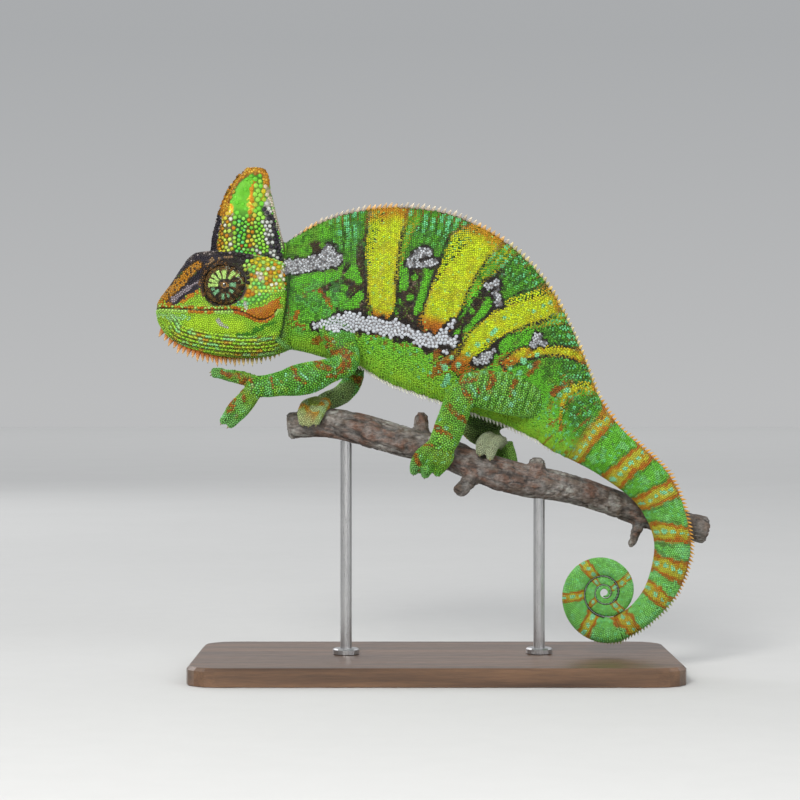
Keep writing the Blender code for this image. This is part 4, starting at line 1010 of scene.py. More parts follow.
CASQUE_MARKS = [
    ((0.10, 0.46, 0.13), 0.5, [([(-87.2, 202.0), (-87.5, 195.2), (-87.7, 189.8)], 1.6)]),
    ((0.24, 0.53, 0.05), 0.8,
     [([(-79.8, 220.2), (-79.9, 210.1)], 1.5), ([(-79.4, 203.9), (-77.7, 191.5)], 2.8)]),
    ((0.46, 0.45, 0.03), 1.0, [(CASQUE_COLUMN, 4.0)]),
    (ORANGE, 0.45, [(CASQUE_COLUMN, 4.0)]),
    ((0.55, 0.55, 0.45), 0.22, [([(-92.9, 205.0), (-92.9, 189.9)], 2.4)]),
    ((0.40, 0.55, 0.08), 0.3, [([(-92.9, 200.0), (-92.9, 187.9)], 2.4)]),
    (ORANGE, 1.0, [([(-81.4, 220.9), (-82.5, 216.9), (-82.7, 211.8)], 0.7)]),
    (ORANGE, 0.6, [(CASQUE_SEAM, 1.5)]),
    ((0.46, 0.44, 0.04), 0.4, [(CASQUE_SEAM, 1.8)]),
    (DEEP_YELLOW, 0.8, [([(-77.4, 219.6), (-77.2, 215.9), (-77.6, 212.8)], 0.7)]),
    (FLAME, 0.35, [([(-86.2, 191.0), (-81.8, 189.3), (-79.1, 187.3)], 2.2)]),
    ((0.45, 0.47, 0.43), 0.4, [([(-82.2, 190.0), (-79.1, 187.3), (-77.0, 186.0)], 2.0)]),
    ((0.46, 0.48, 0.45), 0.85,
     [([(-75.4, 211.0), (-75.1, 204.7)], 1.7),
      ([(-74.8, 202.7), (-73.8, 197.9), (-72.5, 191.2), (-70.8, 183.4)], 3.0)]),
    (PLUM, 0.36, [([(-75.4, 208.8), (-74.7, 204.7), (-73.3, 197.9), (-71.8, 191.2), (-70.1, 184.4)], 2.1)]),
    (PLUM, 0.9, [([(-73.2, 205.3), (-71.9, 197.9), (-70.8, 192.5), (-69.7, 186.4), (-68.6, 181.7)], 1.1)]),
    (PLUM, 0.6, [([(-76.5, 187.0), (-72.5, 185.4)], 1.2)]),
    ((0.46, 0.40, 0.28), 0.8, [([(-75.6, 218.6), (-74.2, 213.4)], 1.1)]),
    ((0.42, 0.37, 0.28), 1.0,
     [([(-74.0, 213.5), (-71.6, 204.7), (-69.3, 196.6), (-67.2, 187.1), (-66.2, 180.3)], 0.6)]),
    (PLUM, 1.0, [([(-97.2, 208.6), (-98.0, 203.3), (-99.0, 197.9), (-100.1, 192.5), (-99.4, 187.1)], 2.0)]),
    ((0.30, 0.27, 0.27), 0.12, [([(-97.2, 208.6), (-98.0, 203.3), (-99.0, 197.9), (-100.1, 192.5)], 2.0)]),
    (ORANGE, 1.0, [(CASQUE_EDGE, 2.6)]),
    ((0.52, 0.32, 0.03), 0.35, [(CASQUE_EDGE, 2.8)]),
    ((0.30, 0.090, 0.010), 1.0,
     [([(-92.9, 210.1), (-92.3, 214.2), (-90.2, 218.2), (-87.2, 221.6), (-83.8, 223.6), (-79.8, 224.4),
        (-77.4, 223.6)], 0.35)]),
]
THROAT_LINE = [
    (-124.6, 155.3), (-122.2, 150.6), (-118.0, 147.2), (-111.8, 144.9), (-104.8, 143.3), (-97.3, 142.2),
    (-88.5, 141.4), (-79.1, 141.4), (-71.6, 142.4), (-64.9, 144.1),
]
THROAT_PITCH = 1.62                  # distance between the rows of scales along the throat
THROAT_ROWS = 6
THROAT_START = 0.9                   # rows from the throat's edge to the first row
THROAT_LENGTH = 68.0                 # about the length of the throat's edge
THROAT_DEPTH = 12.0                  # distance of the throat's scales from the middle plane


def throat_place(x, z):
    """Row number and distance along the throat of side-view points."""
    away, along = line_distance(x, z, THROAT_LINE)
    return away / THROAT_PITCH - THROAT_START, along * THROAT_LENGTH


def paint_throat(col, x, z, small):
    """Rows of long scales along the throat, each row in short lengths of colour with dark gaps."""
    row, along = throat_place(x, z)
    nearest = np.round(row)
    length = np.floor(along / 2.7 + lattice_value(np.stack([nearest, nearest, nearest], axis=1), 61) * 3)
    own = lattice_value(np.stack([length, nearest, nearest * 0], axis=1), 62)
    warm = ramp(-92.0, -88.0, x) * ramp(-76.0, -80.0, x) + ramp(-110.0, -116.0, x)
    own = np.clip(own + 0.18 * warm * (nearest < 4), 0, 0.999)
    colour = choose(own, [(0.22, (0.20, 0.52, 0.20)), (0.36, (0.34, 0.60, 0.26)), (0.64, (0.28, 0.54, 0.03)),
                          (0.88, (0.42, 0.50, 0.04)), (1.0, (0.48, 0.22, 0.02))])
    inside = ramp(-0.6, -0.3, row) * ramp(THROAT_ROWS - 0.4, THROAT_ROWS - 1.6, row + 1.6 * (small - 0.5))
    inside = inside * ramp(-65.0, -73.0, x) * (0.25 + 0.75 * ramp(-121.0, -115.0, x))
    gap = ramp(0.27, 0.40, abs(row - nearest))
    col = lay(col, colour, inside * (0.45 + 0.35 * (small > 0.4)))
    return lay(col, (0.070, 0.045, 0.010), inside * gap * 0.85)


def head_paint(points, kind, tile):
    """Colour of the head, jaw and casque; tile is a random number for each scale."""
    lip = points[:, 2] - mouth_height(points[:, 0])
    side = abs(points[:, 1])
    x, z = side_view(points)
    fine, small, drift = noise(points, 1.4, 5), noise(points, 3.0, 6), noise(points, 2.2, 7)
    rough = (drift - 0.5) * 0.7 + (fine - 0.5) * 0.4
    face, jaw = lip > 0, lip <= 0
    col = plain((0.19, 0.48, 0.030), len(x))
    col = lay_all(col, [
        (LIME, 0.15 + 0.6 * small),
        ((0.090, 0.330, 0.020), ramp(-86.0, -70.0, x) * ramp(0.4, 0.65, drift) * 0.5),
        ((0.34, 0.50, 0.03), face * ramp(-96.0, -108.0, x) * ramp(0.4, 0.62, drift) * 0.7),
    ])

    # beads of the temple, larger towards the middle
    temple = face * (x > -87.6) * (z > 168.6 + 0.25 * (x + 80)) * (x < -67.5)
    beads = choose(tile, [(0.26, (0.32, 0.56, 0.09)), (0.44, DEEP_YELLOW), (0.62, (0.42, 0.54, 0.05)),
                          (0.80, (0.20, 0.52, 0.09)), (0.89, ORANGE), (1.0, (0.50, 0.52, 0.40))])
    col = lay(col, beads, temple)
    col = lay(col, DARK, temple * ramp(-84.0, -87.0, x) * ramp(174.0, 178.0, z) * (tile > 0.48))
    glow, _ = line_distance(x, z, [(-108.8, 156.8), (-98.7, 155.6), (-88.5, 155.0)])
    col = lay(col, (0.36, 0.58, 0.02), jaw * ramp(6.0, 1.5, glow) * 0.75)

    # dark crown above the ridge that runs from the snout to the brow
    edge = np.array(CROWN_EDGE)
    above = z - np.interp(x, edge[:, 0], edge[:, 1]) + rough
    crown = face * ramp(-0.3, 0.3, above) * ramp(-80.0, -83.0, x) * (kind == HEAD)
    col = lay_all(col, [
        (PLUM, crown),
        # painted sheen: lighter grey-brown patches over the dark crown
        ((0.085, 0.070, 0.060), crown * ramp(0.45, 0.7, small) * 0.6),
        ((0.26, 0.22, 0.21), (crown > 0.3) * (tile > 0.90)),
    ])
    col = np.where(face[:, None], lay_marks(col, x, z, tile, rough, FACE_MARKS), col)
    col = np.where(jaw[:, None], lay_marks(col, x, z, tile, rough, JAW_MARKS), col)
    eye = eye_distance(points)
    reach = 1.09 + 0.16 * ramp(0.0, 6.0, points[:, 2] - EYE_Z) + 0.08 * (drift - 0.5)
    reach = reach + 0.13 * ramp(4.0, 0.0, points[:, 0] - EYE_X)
    socket = ramp(reach, reach - 0.08, eye) * face * (kind != CASQUE)
    col = lay_all(col, [
        ((0.024, 0.016, 0.010), socket),
        ((0.16, 0.075, 0.020), socket * (tile > 0.7) * (x < EYE_X)),
        ((0.16, 0.45, 0.05), socket * (tile > 0.6) * ramp(1.16, 1.22, eye) * (z < EYE_Z - 4)),
    ])
    col = paint_throat(col, x, z, small)

    # lips, and the lobe at the corner of the mouth
    lips = ramp(1.9, 1.5, abs(lip)) * ramp(-67.0, -71.0, x) * (side > 1.0)
    low_warm = ((x > -111) & (x < -99)) | ((x > -91) & (x < -72))
    warm = np.where(face, 0.55 + 0.3 * (x > -92), 0.85 * low_warm)
    rows = choose(tile * 7.1 % 1.0, [(0.5, FLAME), (1.0, ORANGE)])
    rows = np.where((tile < warm)[:, None], rows, np.array((0.30, 0.54, 0.10)))
    col = lay(col, rows, lips)
    lobe = inside_outline(x + rough, z + rough, MOUTH_LOBE) & (side > 3)
    col = np.where(lobe[:, None], choose(tile, [(0.45, (0.40, 0.13, 0.010)), (1.0, ORANGE)]), col)
    # painted shade: a dark line in the slit of the mouth
    col = lay(col, DARK, ramp(0.38, 0.15, abs(lip)) * (x < -71.0) * (kind != CASQUE))
    # painted shade of the fold between head and neck, with a painted highlight below it
    col = paint_crease_shade(col, x, z)

    # casque: bright plate in an orange border, bead columns below, pale beads towards the rear
    plate = plain((0.105, 0.43, 0.022), len(x))
    plate = lay(plate, (0.13, 0.48, 0.035), ramp(0.4, 0.7, small))
    plate = lay(plate, (0.26, 0.55, 0.10), (tile < 0.3) * ramp(206.0, 202.0, z))
    plate = lay_marks(plate, x, z, tile, rough * 0.8, CASQUE_MARKS)
    col = np.where((kind == CASQUE)[:, None], plate, col)
    return col * (0.90 + 0.20 * fine)[:, None]


# ---------------------------------------------------------------- markings of the limbs
# Rust patches of each limb as (start, end) shares of its length from the body outwards.
LIMB_BANDS = {
    "upper_arm_": [(0.30, 0.46), (0.70, 0.84)],
    "forearm_": [(0.14, 0.26), (0.52, 0.64), (0.88, 0.94)],
    "thigh_": [(0.20, 0.30), (0.48, 0.57), (0.80, 0.92)],
    "shank_": [(0.16, 0.28), (0.52, 0.62)],
}
# Side-view patches of the left arm and the left leg, in mm.
LIMB_RUST = [
    ([(-52.5, 148.7), (-49.0, 150.2), (-45.5, 148.7), (-49.5, 146.2)], 1.1),
    ([(-45.0, 146.2), (-43.0, 145.2)], 0.7), ([(-46.5, 143.4), (-41.5, 144.9), (-38.5, 143.2)], 1.3),
    ([(-40.3, 142.7), (-39.0, 138.7), (-43.0, 135.7)], 1.8),
    ([(-53.2, 139.2), (-50.5, 137.4), (-48.0, 136.7)], 1.4), ([(-48.3, 133.4), (-45.0, 133.2)], 1.1),
    ([(-64.2, 136.7), (-62.2, 132.7), (-58.7, 130.2)], 1.2), ([(-74.0, 132.4), (-73.0, 128.2)], 0.6),
    ([(-69.0, 130.7)], 0.7), ([(-95.5, 134.9), (-92.2, 133.4)], 1.2), ([(-89.5, 115.4)], 0.9),
    ([(-89.0, 133.4), (-85.3, 131.7), (-87.0, 130.2)], 1.3), ([(-83.5, 132.7), (-81.5, 128.2)], 0.7),
    ([(-91.0, 121.6), (-91.8, 117.7)], 1.6), ([(-87.0, 126.7), (-86.0, 121.6)], 0.7),
    ([(11.5, 132.9), (13.8, 135.2), (16.8, 135.9), (18.8, 134.4), (18.2, 131.9), (14.7, 130.9),
      (11.5, 130.9)], 1.2),
    ([(12.0, 130.4), (13.5, 125.4), (16.3, 121.9)], 1.0),
    ([(25.0, 135.9), (26.0, 131.4), (24.2, 126.9)], 1.4), ([(36.2, 130.9), (35.0, 128.4)], 1.1),
    ([(19.2, 128.9), (20.0, 125.4)], 0.6), ([(34.2, 126.9), (33.8, 123.9)], 0.5),
    ([(5.8, 119.9), (8.3, 117.1), (13.8, 112.9)], 1.3), ([(0.3, 110.4), (4.2, 107.7), (6.8, 105.9)], 1.1),
    ([(-3.2, 107.4), (-5.5, 102.4), (-1.3, 101.7)], 0.8), ([(-9.0, 97.9), (-7.2, 93.9)], 1.2),
    ([(-7.2, 90.4)], 0.8),
]
LIMB_MINT = [
    ([(15.5, 133.9)], 0.8), ([(22.8, 122.9)], 1.0), ([(35.8, 125.4)], 1.0), ([(34.2, 120.4)], 1.2),
    ([(22.0, 127.9)], 0.7), ([(5.0, 109.9)], 0.9), ([(2.2, 113.4)], 0.6),
    ([(16.3, 128.4), (18.8, 123.9)], 0.6), ([(21.8, 134.9)], 0.5), ([(-61.0, 134.8), (-57.4, 131.9)], 0.5),
    ([(-66.9, 133.6)], 0.7),
]


def limb_paint(points, name, share, inner):
    """Colour of a limb or toes; share runs from body to tip, inner is 1 on the side facing the other limb."""
    x, z = side_view(points)
    fine, small = noise(points, 1.1, 12), noise(points, 3.2, 13)
    drift, tiny = noise(points, 2.2, 14), noise(points, 0.8, 15)
    rough = (drift - 0.5) * 1.2 + (fine - 0.5) * 0.9
    toes = name.endswith("toes")
    col = plain((0.100, 0.340, 0.030), len(points))
    col = lay_all(col, [
        ((0.17, 0.50, 0.14), ramp(0.50, 0.66, small * 0.5 + tiny * 0.5) * 0.75),
        (LIME, ramp(0.55, 0.75, drift) * 0.45),
        ((0.035, 0.13, 0.015), ramp(0.60, 0.75, fine) * 0.5),
    ])
    if name.startswith(("thigh", "shank")):
        col = lay(col, (0.20, 0.46, 0.05), 0.30 + 0.3 * ramp(0.4, 0.6, small))
    if toes:
        col = lay(col, (0.22, 0.34, 0.030), ramp(0.75, 0.2, share) * 0.5)
        col = lay(col, (0.15, 0.38, 0.10), ramp(0.62, 0.85, share) * 0.8)
    if "left" in name:
        rust = patch_mask(x, z, LIMB_RUST, rough)
        mint = patch_mask(x, z, LIMB_MINT, rough * 0.4)
    else:
        wave = share + 0.10 * (small - 0.5) + 0.05 * (drift - 0.5)
        rust, mint = np.zeros(len(points)), np.zeros(len(points))
        for prefix, bands in LIMB_BANDS.items():
            for a, b in bands if name.startswith(prefix) else ():
                rust = np.maximum(rust, ramp(a - 0.02, a + 0.02, wave) * ramp(b + 0.02, b - 0.02, wave))
        rust = rust * ramp(0.22, 0.42, drift) * (1 - inner)
    if name in ("thigh_left", "thigh_right"):
        # painted shade: dark wavy lines stand for folds on the thighs, with pale green patches between them
        fold = 0.5 + 0.5 * np.sin((x - 0.30 * z) * 1.9 + 5.0 * (noise(points, 9.0, 76) - 0.5))
        high = ramp(112.0, 122.0, z)
        col = lay(col, (0.030, 0.120, 0.012), ramp(0.74, 0.95, fold) * high * 0.7)
        col = lay(col, (0.20, 0.52, 0.16), ramp(0.45, 0.15, fold) * ramp(0.42, 0.58, drift) * high * 0.6)
    rust = rust * (1.0 - 0.75 * ramp(0.58, 0.70, fine))
    col = lay_all(col, [
        (RUST, rust * 0.95),
        ((0.42, 0.17, 0.012), rust * ramp(0.50, 0.70, tiny) * 0.7),
        ((0.22, 0.56, 0.30), mint),
    ])
    dot, own = spots(x + 0.4 * points[:, 1], z + 0.3 * points[:, 1], 3.4, 0.62, 71, 0.7)
    col = lay(col, (0.20, 0.55, 0.24), dot * (own > 0.3) * 0.6)
    if name.startswith("upper_arm"):
        reach = stripe_reach(points)
        high = ramp(151.0, 154.5, z) * (1 - inner)
        col = lay_all(col, [
            ((0.11, 0.42, 0.09), high * ramp(0.45, 0.6, small) * 0.6),
            (DARK, high * ramp(-1.7, -0.8, reach)),
            (STRIPE, high * ramp(-0.3, 0.2, reach)),
        ])
    if "right" in name:
        if name.startswith("hand"):
            gold = lay(plain((0.26, 0.32, 0.06), len(points)), (0.44, 0.20, 0.015),
                       ramp(0.46, 0.58, noise(points, 4.2, 19)))
            gold = lay(gold, (0.32, 0.46, 0.24), ramp(0.56, 0.70, small) * 0.8)
            gold = lay(gold, (0.40, 0.45, 0.22), ramp(0.66, 0.92, share) * 0.9)
            col = lay(col, gold, np.full(len(points), 0.9))
        elif name.startswith("foot"):
            pale = (0.33, 0.34, 0.24) if "inner" in name else (0.17, 0.36, 0.06)
            col = lay(col, pale, np.full(len(points), 0.85))
        else:
            # painted shade: dull dark greens on the inner side of the far arm and leg, darkest on the thigh
            # and upper arm
            pale = (0.10, 0.15, 0.05) if name.startswith(("thigh", "upper")) else (0.20, 0.28, 0.10)
            col = lay(col, pale, inner * 0.85)
    return col * (0.84 + 0.32 * fine)[:, None]


def coil_loft():
    """Skin of the coiled tail end: points, triangles, station and height of each point."""
    stations = [19.9]
    while stations[-1] < SPINE_END - 0.05:
        run = spine_frame(np.array([stations[-1]]))["run_back"][0]
        stations.append(stations[-1] + min(0.5, 0.7 / run))
    s = np.array(stations)
    f = spine_frame(s)
    sunk = 0.5 * ramp(20.9, 20.2, s)
    inset = np.minimum(COAT, 0.24 * f["half"]) + sunk
    turned = ramp(20.9, 22.5, s)                  # neighbouring turns all but touch
    close = np.sqrt(1 - 0.9 * np.clip((s - SPINE_END + 1.2) / 1.2, 0, 1) ** 2)
    f["half"] = (f["half"] + COIL_SWELL * turned - inset * (1 - turned)) * close
    f["width"] = (f["width"] - inset * (1 - 0.5 * turned)) * close
    sides = 40
    turns = 2 * math.pi * np.arange(sides) / sides
    rings = np.stack([section_point(f, np.full(len(s), turn)) for turn in turns], axis=1)
    points, faces = closed_tube(rings)
    corner = points[faces]
    if np.sum(corner[:, 0] * np.cross(corner[:, 1], corner[:, 2])) < 0:
        faces = faces[:, ::-1]
    height = (1 + np.cos(turns)) / 2
    return (points, faces, np.concatenate([np.repeat(s, sides), s[:1], s[-1:]]),
            np.concatenate([np.tile(height, len(s)), [0.5, 0.5]]))


def coil_contact(s, t, margin):
    """Where a turn of the coil faces its neighbour."""
    inner = (t < margin) & (s > LAST + 1.0) & (s < SPINE_END - 18.0)
    return inner | ((t > 1 - margin) & (s > LAST + 18.5))


# ---------------------------------------------------------------- the skin
class Flesh:
    """The joined skin with each point's region and spine place."""

    def __init__(self):
        parts, labels, self.spikes, self.arrays = [], [], {}, {}
        for number, name in enumerate(FLESH_NODES):
            points, triangles = node_arrays(name)
            points, self.spikes[name] = cut_spikes(points, triangles)
            self.arrays[name] = (points, triangles)
            if name in COIL_NODES:
                continue
            sharp = 75 if name in TOE_NODES else (55 if name in LIMB_NODES else 50)
            shape = rounded(points, triangles, sharp, SWELL)
            parts.append(shape)
            labels.append(np.full(len(shape[1]), number))
        self.label_tree(parts, labels)
        self.mesh = voxel_join("joined_skin", parts, VOXEL)
        self.shape_skin()
        self.add_coil()

    def label_tree(self, parts, labels):
        """Prepares the search for the CAD node that any place belongs to."""
        points, triangles = joined(parts)
        self.labels = np.concatenate(labels)
        self.guide = BVHTree.FromPolygons(points.tolist(), triangles.tolist())

    def region_of(self, points):
        """Region of the CAD node nearest to each point."""
        return self.labels[np.array([self.guide.find_nearest(p)[2] for p in points])]

    def join_mask(self, first, second, rings, reach):
        """1 where nodes of two groups meet, fading over some rings of points."""
        a, b = self.edges
        one, two = in_nodes(self.region, first), in_nodes(self.region, second)
        meet = ((one[a] & two[b]) | (one[b] & two[a])) & (self.region[a] != self.region[b])
        mask = np.zeros(len(self.region))
        mask[a[meet]] = 1.0
        mask[b[meet]] = 1.0
        for _ in range(rings):
            wider = mask.copy()
            np.maximum.at(wider, a, mask[b] * reach)
            np.maximum.at(wider, b, mask[a] * reach)
            mask = wider
        return ramp(reach ** rings, 0.9, mask)

    def shape_skin(self):
        """Evens the joined skin, softens where limbs meet the body and adds its relief."""
        points, triangles = mesh_arrays(self.mesh)
        self.edges, even = smoother(self.mesh, points)
        for _ in range(9):
            points = even(points, 0.55)
            points = even(points, -0.57)
        points = even(points, 0.4)
        self.region = self.region_of(points)
        wide = self.join_mask(BODY_NODES, LIMB_NODES, 9, 0.88) * 0.6
        for _ in range(34):
            points = even(points, wide)
        narrow = self.join_mask(LIMB_NODES, LIMB_NODES + TOE_NODES, 5, 0.8) * 0.5
        for _ in range(9):
            points = even(points, narrow)
        soft = points
        for _ in range(14):
            soft = even(soft, 0.6)
        normals = point_normals(points, triangles)
        detail = np.sum((points - soft) * normals, axis=1) * in_nodes(self.region, TOE_NODES)
        points = points + normals * (np.clip(detail, -0.8, 0.5) * 0.85 - SWELL - COAT)[:, None]
        points = points + normals * skin_relief(points, self.region)[:, None]
        self.points, self.triangles = even(points, 0.3), triangles

    def add_coil(self):
        """Adds the coiled tail end and finds every body point's place on the spine."""
        points, triangles, station, height = coil_loft()
        body = np.nonzero(in_nodes(self.region, BODY_NODES))[0]
        s, t = SpineMap()(self.points[body])
        count = len(self.points)
        self.s = np.concatenate([np.full(count, -1.0), station])
        self.t = np.concatenate([np.full(count, 0.5), height])
        self.s[body], self.t[body] = s, t
        coil = np.where(station < COIL_SPLIT, *region_numbers(COIL_NODES))
        self.region = np.concatenate([self.region, coil])
        self.points = np.concatenate([self.points, points])
        self.triangles = np.concatenate([self.triangles, triangles + count])
        self.normals = point_normals(self.points, self.triangles)
        self.tree = BVHTree.FromPolygons(self.points.tolist(), self.triangles.tolist())

    def region_at(self, faces):
        """Region of each of some faces."""
        return self.region[self.triangles[faces, 0]]

    def faces_of(self, names):
        """Faces of the skin that belong to some flesh nodes."""
        return np.nonzero(in_nodes(self.region[self.triangles[:, 0]], names))[0]

    def snap(self, points):
        """Nearest places on the skin with even normals."""
        found = [self.tree.find_nearest(p) for p in points]
        place = np.array([f[0] for f in found])
        face = np.array([f[2] for f in found])
        normal = unit(self.normals[self.triangles[face]].sum(axis=1))
        return place, normal, face


def region_numbers(names):
    """Numbers of some flesh nodes, which are the regions of the skin."""
    return [FLESH_NODES.index(n) for n in names]


def in_nodes(region, names):
    """True where a region belongs to one of some flesh nodes."""
    return np.isin(region, region_numbers(names))


def head_kind(region):
    """0 on the head, 1 on the lower jaw and 2 on the casque."""
    return np.clip(region - FLESH_NODES.index(HEAD_NODES[0]), 0, 2)


def skin_relief(points, region):
    """Lips, brow, casque ridges, neck fold and soft folds of the trunk, in mm outwards."""
    x, z, side = points[:, 0], points[:, 2], abs(points[:, 1])
    rise = np.zeros(len(points))
    head = in_nodes(region, ["head", "lower_jaw"])
    upper = region == FLESH_NODES.index("head")
    casque = region == FLESH_NODES.index("casque")
    lip = z - mouth_height(x)
    along = (x > -124.5) & (x < -70.0)
    rise += head * along * (-0.7 * np.exp(-(lip / 0.42) ** 2) + 0.35 * np.exp(-((abs(lip) - 1.2) / 0.7) ** 2))
    lobes = [(-84.0, 160.4), (-78.0, 160.6), (-73.0, 163.6), (-70.4, 167.6)]
    cheek = [(-102.4, 153.5), (-94.0, 150.8), (-86.9, 150.0), (-77.0, 150.6), (-70.5, 154.5)]
    groove = [(-116.4, 167.6), (-110.9, 171.6), (-105.4, 176.0), (-102.6, 180.4)]
    near = in_nodes(region, ["head", "lower_jaw", "neck"])
    # where, line, height, half width: raised along some lines, sunk along others
    for where, line, height, width in (
            (upper, CANTHUS, 0.7, 1.6), (upper, groove, -0.6, 1.3), (upper & (side > 3), BROW, 0.55, 1.4),
            (head & (side > 5), lobes, 0.9, 1.8), (head & (side > 4), cheek, -0.5, 1.2),
            (near & (side > 3), NECK_GROOVE, -0.95, 0.9), (casque, CASQUE_REAR, 0.5, 0.8)):
        rise += where * height * np.exp(-(line_distance(x, z, line)[0] / width) ** 2)
    eye = eye_distance(points)
    rise -= head * (side > 4) * 0.35 * np.exp(-((eye - 1.20) / 0.07) ** 2)
    rise -= upper * (side > 3) * 1.0 * np.exp(-(np.hypot(x + 116.6, z - 168.6) / 0.75) ** 2)
    front = x - casque_front(z)
    rise += casque * (0.5 * np.exp(-((front - 0.6) / 0.9) ** 2) - 0.5 * ramp(-0.4, -1.4, front))
    rise += casque * plate_share(points) * (0.22 + 0.30 * (noise(points, 1.7, 91) - 0.5))
    trunk = in_nodes(region, ["trunk", "hip"])
    rise += trunk * 0.16 * np.sin(x * 1.05 - z * 0.18 + 2.0 * noise(points, 14.0, 17))
    legs = in_nodes(region, LIMB_NODES + TOE_NODES)
    return rise + legs * 0.35 * (noise(points, 3.2, 18) - 0.5)


# ---------------------------------------------------------------- laying out scales
class Coat:
    """Gathers scale roots piece by piece and turns them into closed domes."""

    def __init__(self):
        self.rows = []

    def add(self, piece, slot, root, normal, ahead, length, width, height, colour, place, sides=6, tilt=0.0):
        """Takes scales by roots, normals, length directions, half sizes, heights, colours, UV places."""
        length, width, height = (np.broadcast_to(size, len(root)).copy() for size in (length, width, height))
        if len(root):
            self.rows.append({"piece": piece, "slot": slot, "sides": sides, "tilt": tilt, "root": root,
                              "normal": normal, "ahead": ahead, "length": length, "width": width,
                              "height": height, "colour": colour, "place": place})

    def cull(self, share):
        """Drops scales whose roots crowd one that was laid before."""
        roots = np.concatenate([r["root"] for r in self.rows])
        reach = np.concatenate([np.minimum(r["length"], r["width"]) for r in self.rows])
        keep = np.ones(len(roots), bool)
        grid = {}
        keys = np.floor(roots).astype(int).tolist()
        places, sizes = roots.tolist(), reach.tolist()
        for i, (px, py, pz) in enumerate(places):
            kx, ky, kz = keys[i]
            size = sizes[i]
            span = range(-1, 2) if size < 0.75 else range(-2, 3)
            near = (grid.get((kx + dx, ky + dy, kz + dz)) for dx in span for dy in span for dz in span)
            crowded = any((px - qx) ** 2 + (py - qy) ** 2 + (pz - qz) ** 2 < (share * (size + other)) ** 2
                          for cell in near if cell for qx, qy, qz, other in cell)
            if crowded:
                keep[i] = False
            else:
                grid.setdefault((kx, ky, kz), []).append((px, py, pz, size))
        start = 0
        for r in self.rows:
            k = keep[start:start + len(r["root"])]
            start += len(r["root"])
            for key in ("root", "normal", "ahead", "length", "width", "height", "colour", "place"):
                r[key] = r[key][k]

    def build(self, finish):
        """Makes one mesh for each piece, or several where it has many triangles."""
        for r in self.rows:
            per = 4 * r["sides"] - 2
            most = PIECE_TRIANGLES // per
            count = max(1, math.ceil(len(r["root"]) / most))
            for k in range(count):
                part = slice(k * len(r["root"]) // count, (k + 1) * len(r["root"]) // count)
                name = r["piece"] if count == 1 else f"{r['piece']}_{k + 1}"
                piece = dome_piece(name, r, part)
                piece.data.materials.append(finish)
                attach(piece, "root")


def dome_piece(name, r, part):
    """One mesh of closed low domes, each with a sunk foot, a shoulder and a crown."""
    root, normal = r["root"][part], r["normal"][part]
    ahead = unit(r["ahead"][part] - normal * np.sum(r["ahead"][part] * normal, axis=1, keepdims=True))
    cross = np.cross(normal, ahead)
    length, width = r["length"][part][:, None], r["width"][part][:, None]
    height, sides, n = r["height"][part][:, None], r["sides"], len(root)
    points = np.zeros((n, 2 * sides + 1, 3))
    ring = [(math.cos(2 * math.pi * k / sides), math.sin(2 * math.pi * k / sides)) for k in range(sides)]
    for k, (c, s) in enumerate(ring):
        spread = ahead * length * c + cross * width * s
        lift = r["tilt"] * c * height
        points[:, k] = root + spread - normal * FOOT_SUNK
        points[:, sides + k] = root + spread * SHOULDER_WIDTH + normal * (SHOULDER_HEIGHT * height + lift)
    points[:, 2 * sides] = root + ahead * length * 0.08 + normal * height
    faces = []
    for k in range(sides):
        j = (k + 1) % sides
        faces += [(k, j, sides + j), (k, sides + j, sides + k), (sides + k, sides + j, 2 * sides)]
    faces += [(0, k + 1, k) for k in range(1, sides - 1)]
    triangles = (np.array(faces)[None] + (np.arange(n) * (2 * sides + 1))[:, None, None]).reshape(-1, 3)
    colour = np.repeat(r["colour"][part], 2 * sides + 1, axis=0)
    obj = make_mesh(name, points.reshape(-1, 3), triangles, colour)
    # rise: 0 at a scale's foot, which the material darkens as painted shade between scales
    put_number(obj.data, "rise", np.tile([0.0] * sides + [SHOULDER_HEIGHT] * sides + [1.0], n))
    offset = np.array([(0.0015 * u, 0.0015 * v) for u, v in ring] + [(0.001 * u, 0.001 * v) for u, v in ring]
                      + [(0.0, 0.0)])
    spread = (r["place"][part][:, None, :] + offset[None]).reshape(-1, 2)
    layer = obj.data.uv_layers.new(name="OFBake")
    layer.data.foreach_set("uv", spread[triangles.ravel()].astype(np.float32).ravel())
    return obj


HEXAGON = 0.866                      # area for each root of an even spread, times the gap squared


def even_spread(flesh, faces, spacing, passes, rng):
    """Roots spread evenly over some skin faces; spacing gives the distance wanted at each point."""
    tri = flesh.triangles[faces]
    corner = flesh.points[tri]
    area = np.linalg.norm(np.cross(corner[:, 1] - corner[:, 0], corner[:, 2] - corner[:, 0]), axis=1) / 2
    middle = corner.mean(axis=1)
    wanted = area / (HEXAGON * spacing(middle) ** 2)
    count = int(wanted.sum())
    chosen = np.searchsorted(np.cumsum(wanted), (np.arange(count) + rng.random(count)) * wanted.sum() / count)
    chosen = np.minimum(chosen, len(faces) - 1)
    a, b = rng.random(count), rng.random(count)
    flip = a + b > 1
    a, b = np.where(flip, 1 - a, a), np.where(flip, 1 - b, b)
    c = corner[chosen]
    points = c[:, 0] + (c[:, 1] - c[:, 0]) * a[:, None] + (c[:, 2] - c[:, 0]) * b[:, None]
    nearest = 7                                          # a root itself and six round it
    for _ in range(passes):
        tree = kd_tree(points)
        missing = [0] * max(0, nearest - len(points))
        near = np.array([[j for _, j, _ in tree.find_n(p, nearest)] + missing for p in points])
        h = spacing(points)
        push = np.zeros_like(points)
        for k in range(1, nearest):
            away = points - points[near[:, k]]
            d = np.maximum(np.linalg.norm(away, axis=1), 1e-6)
            rest = (h + h[near[:, k]]) * 0.5
            force = np.clip(1.06 - d / rest, 0, 1) * rest * 0.42
            push += away / d[:, None] * force[:, None]
        points, _, _ = flesh.snap(points + push)
    return points


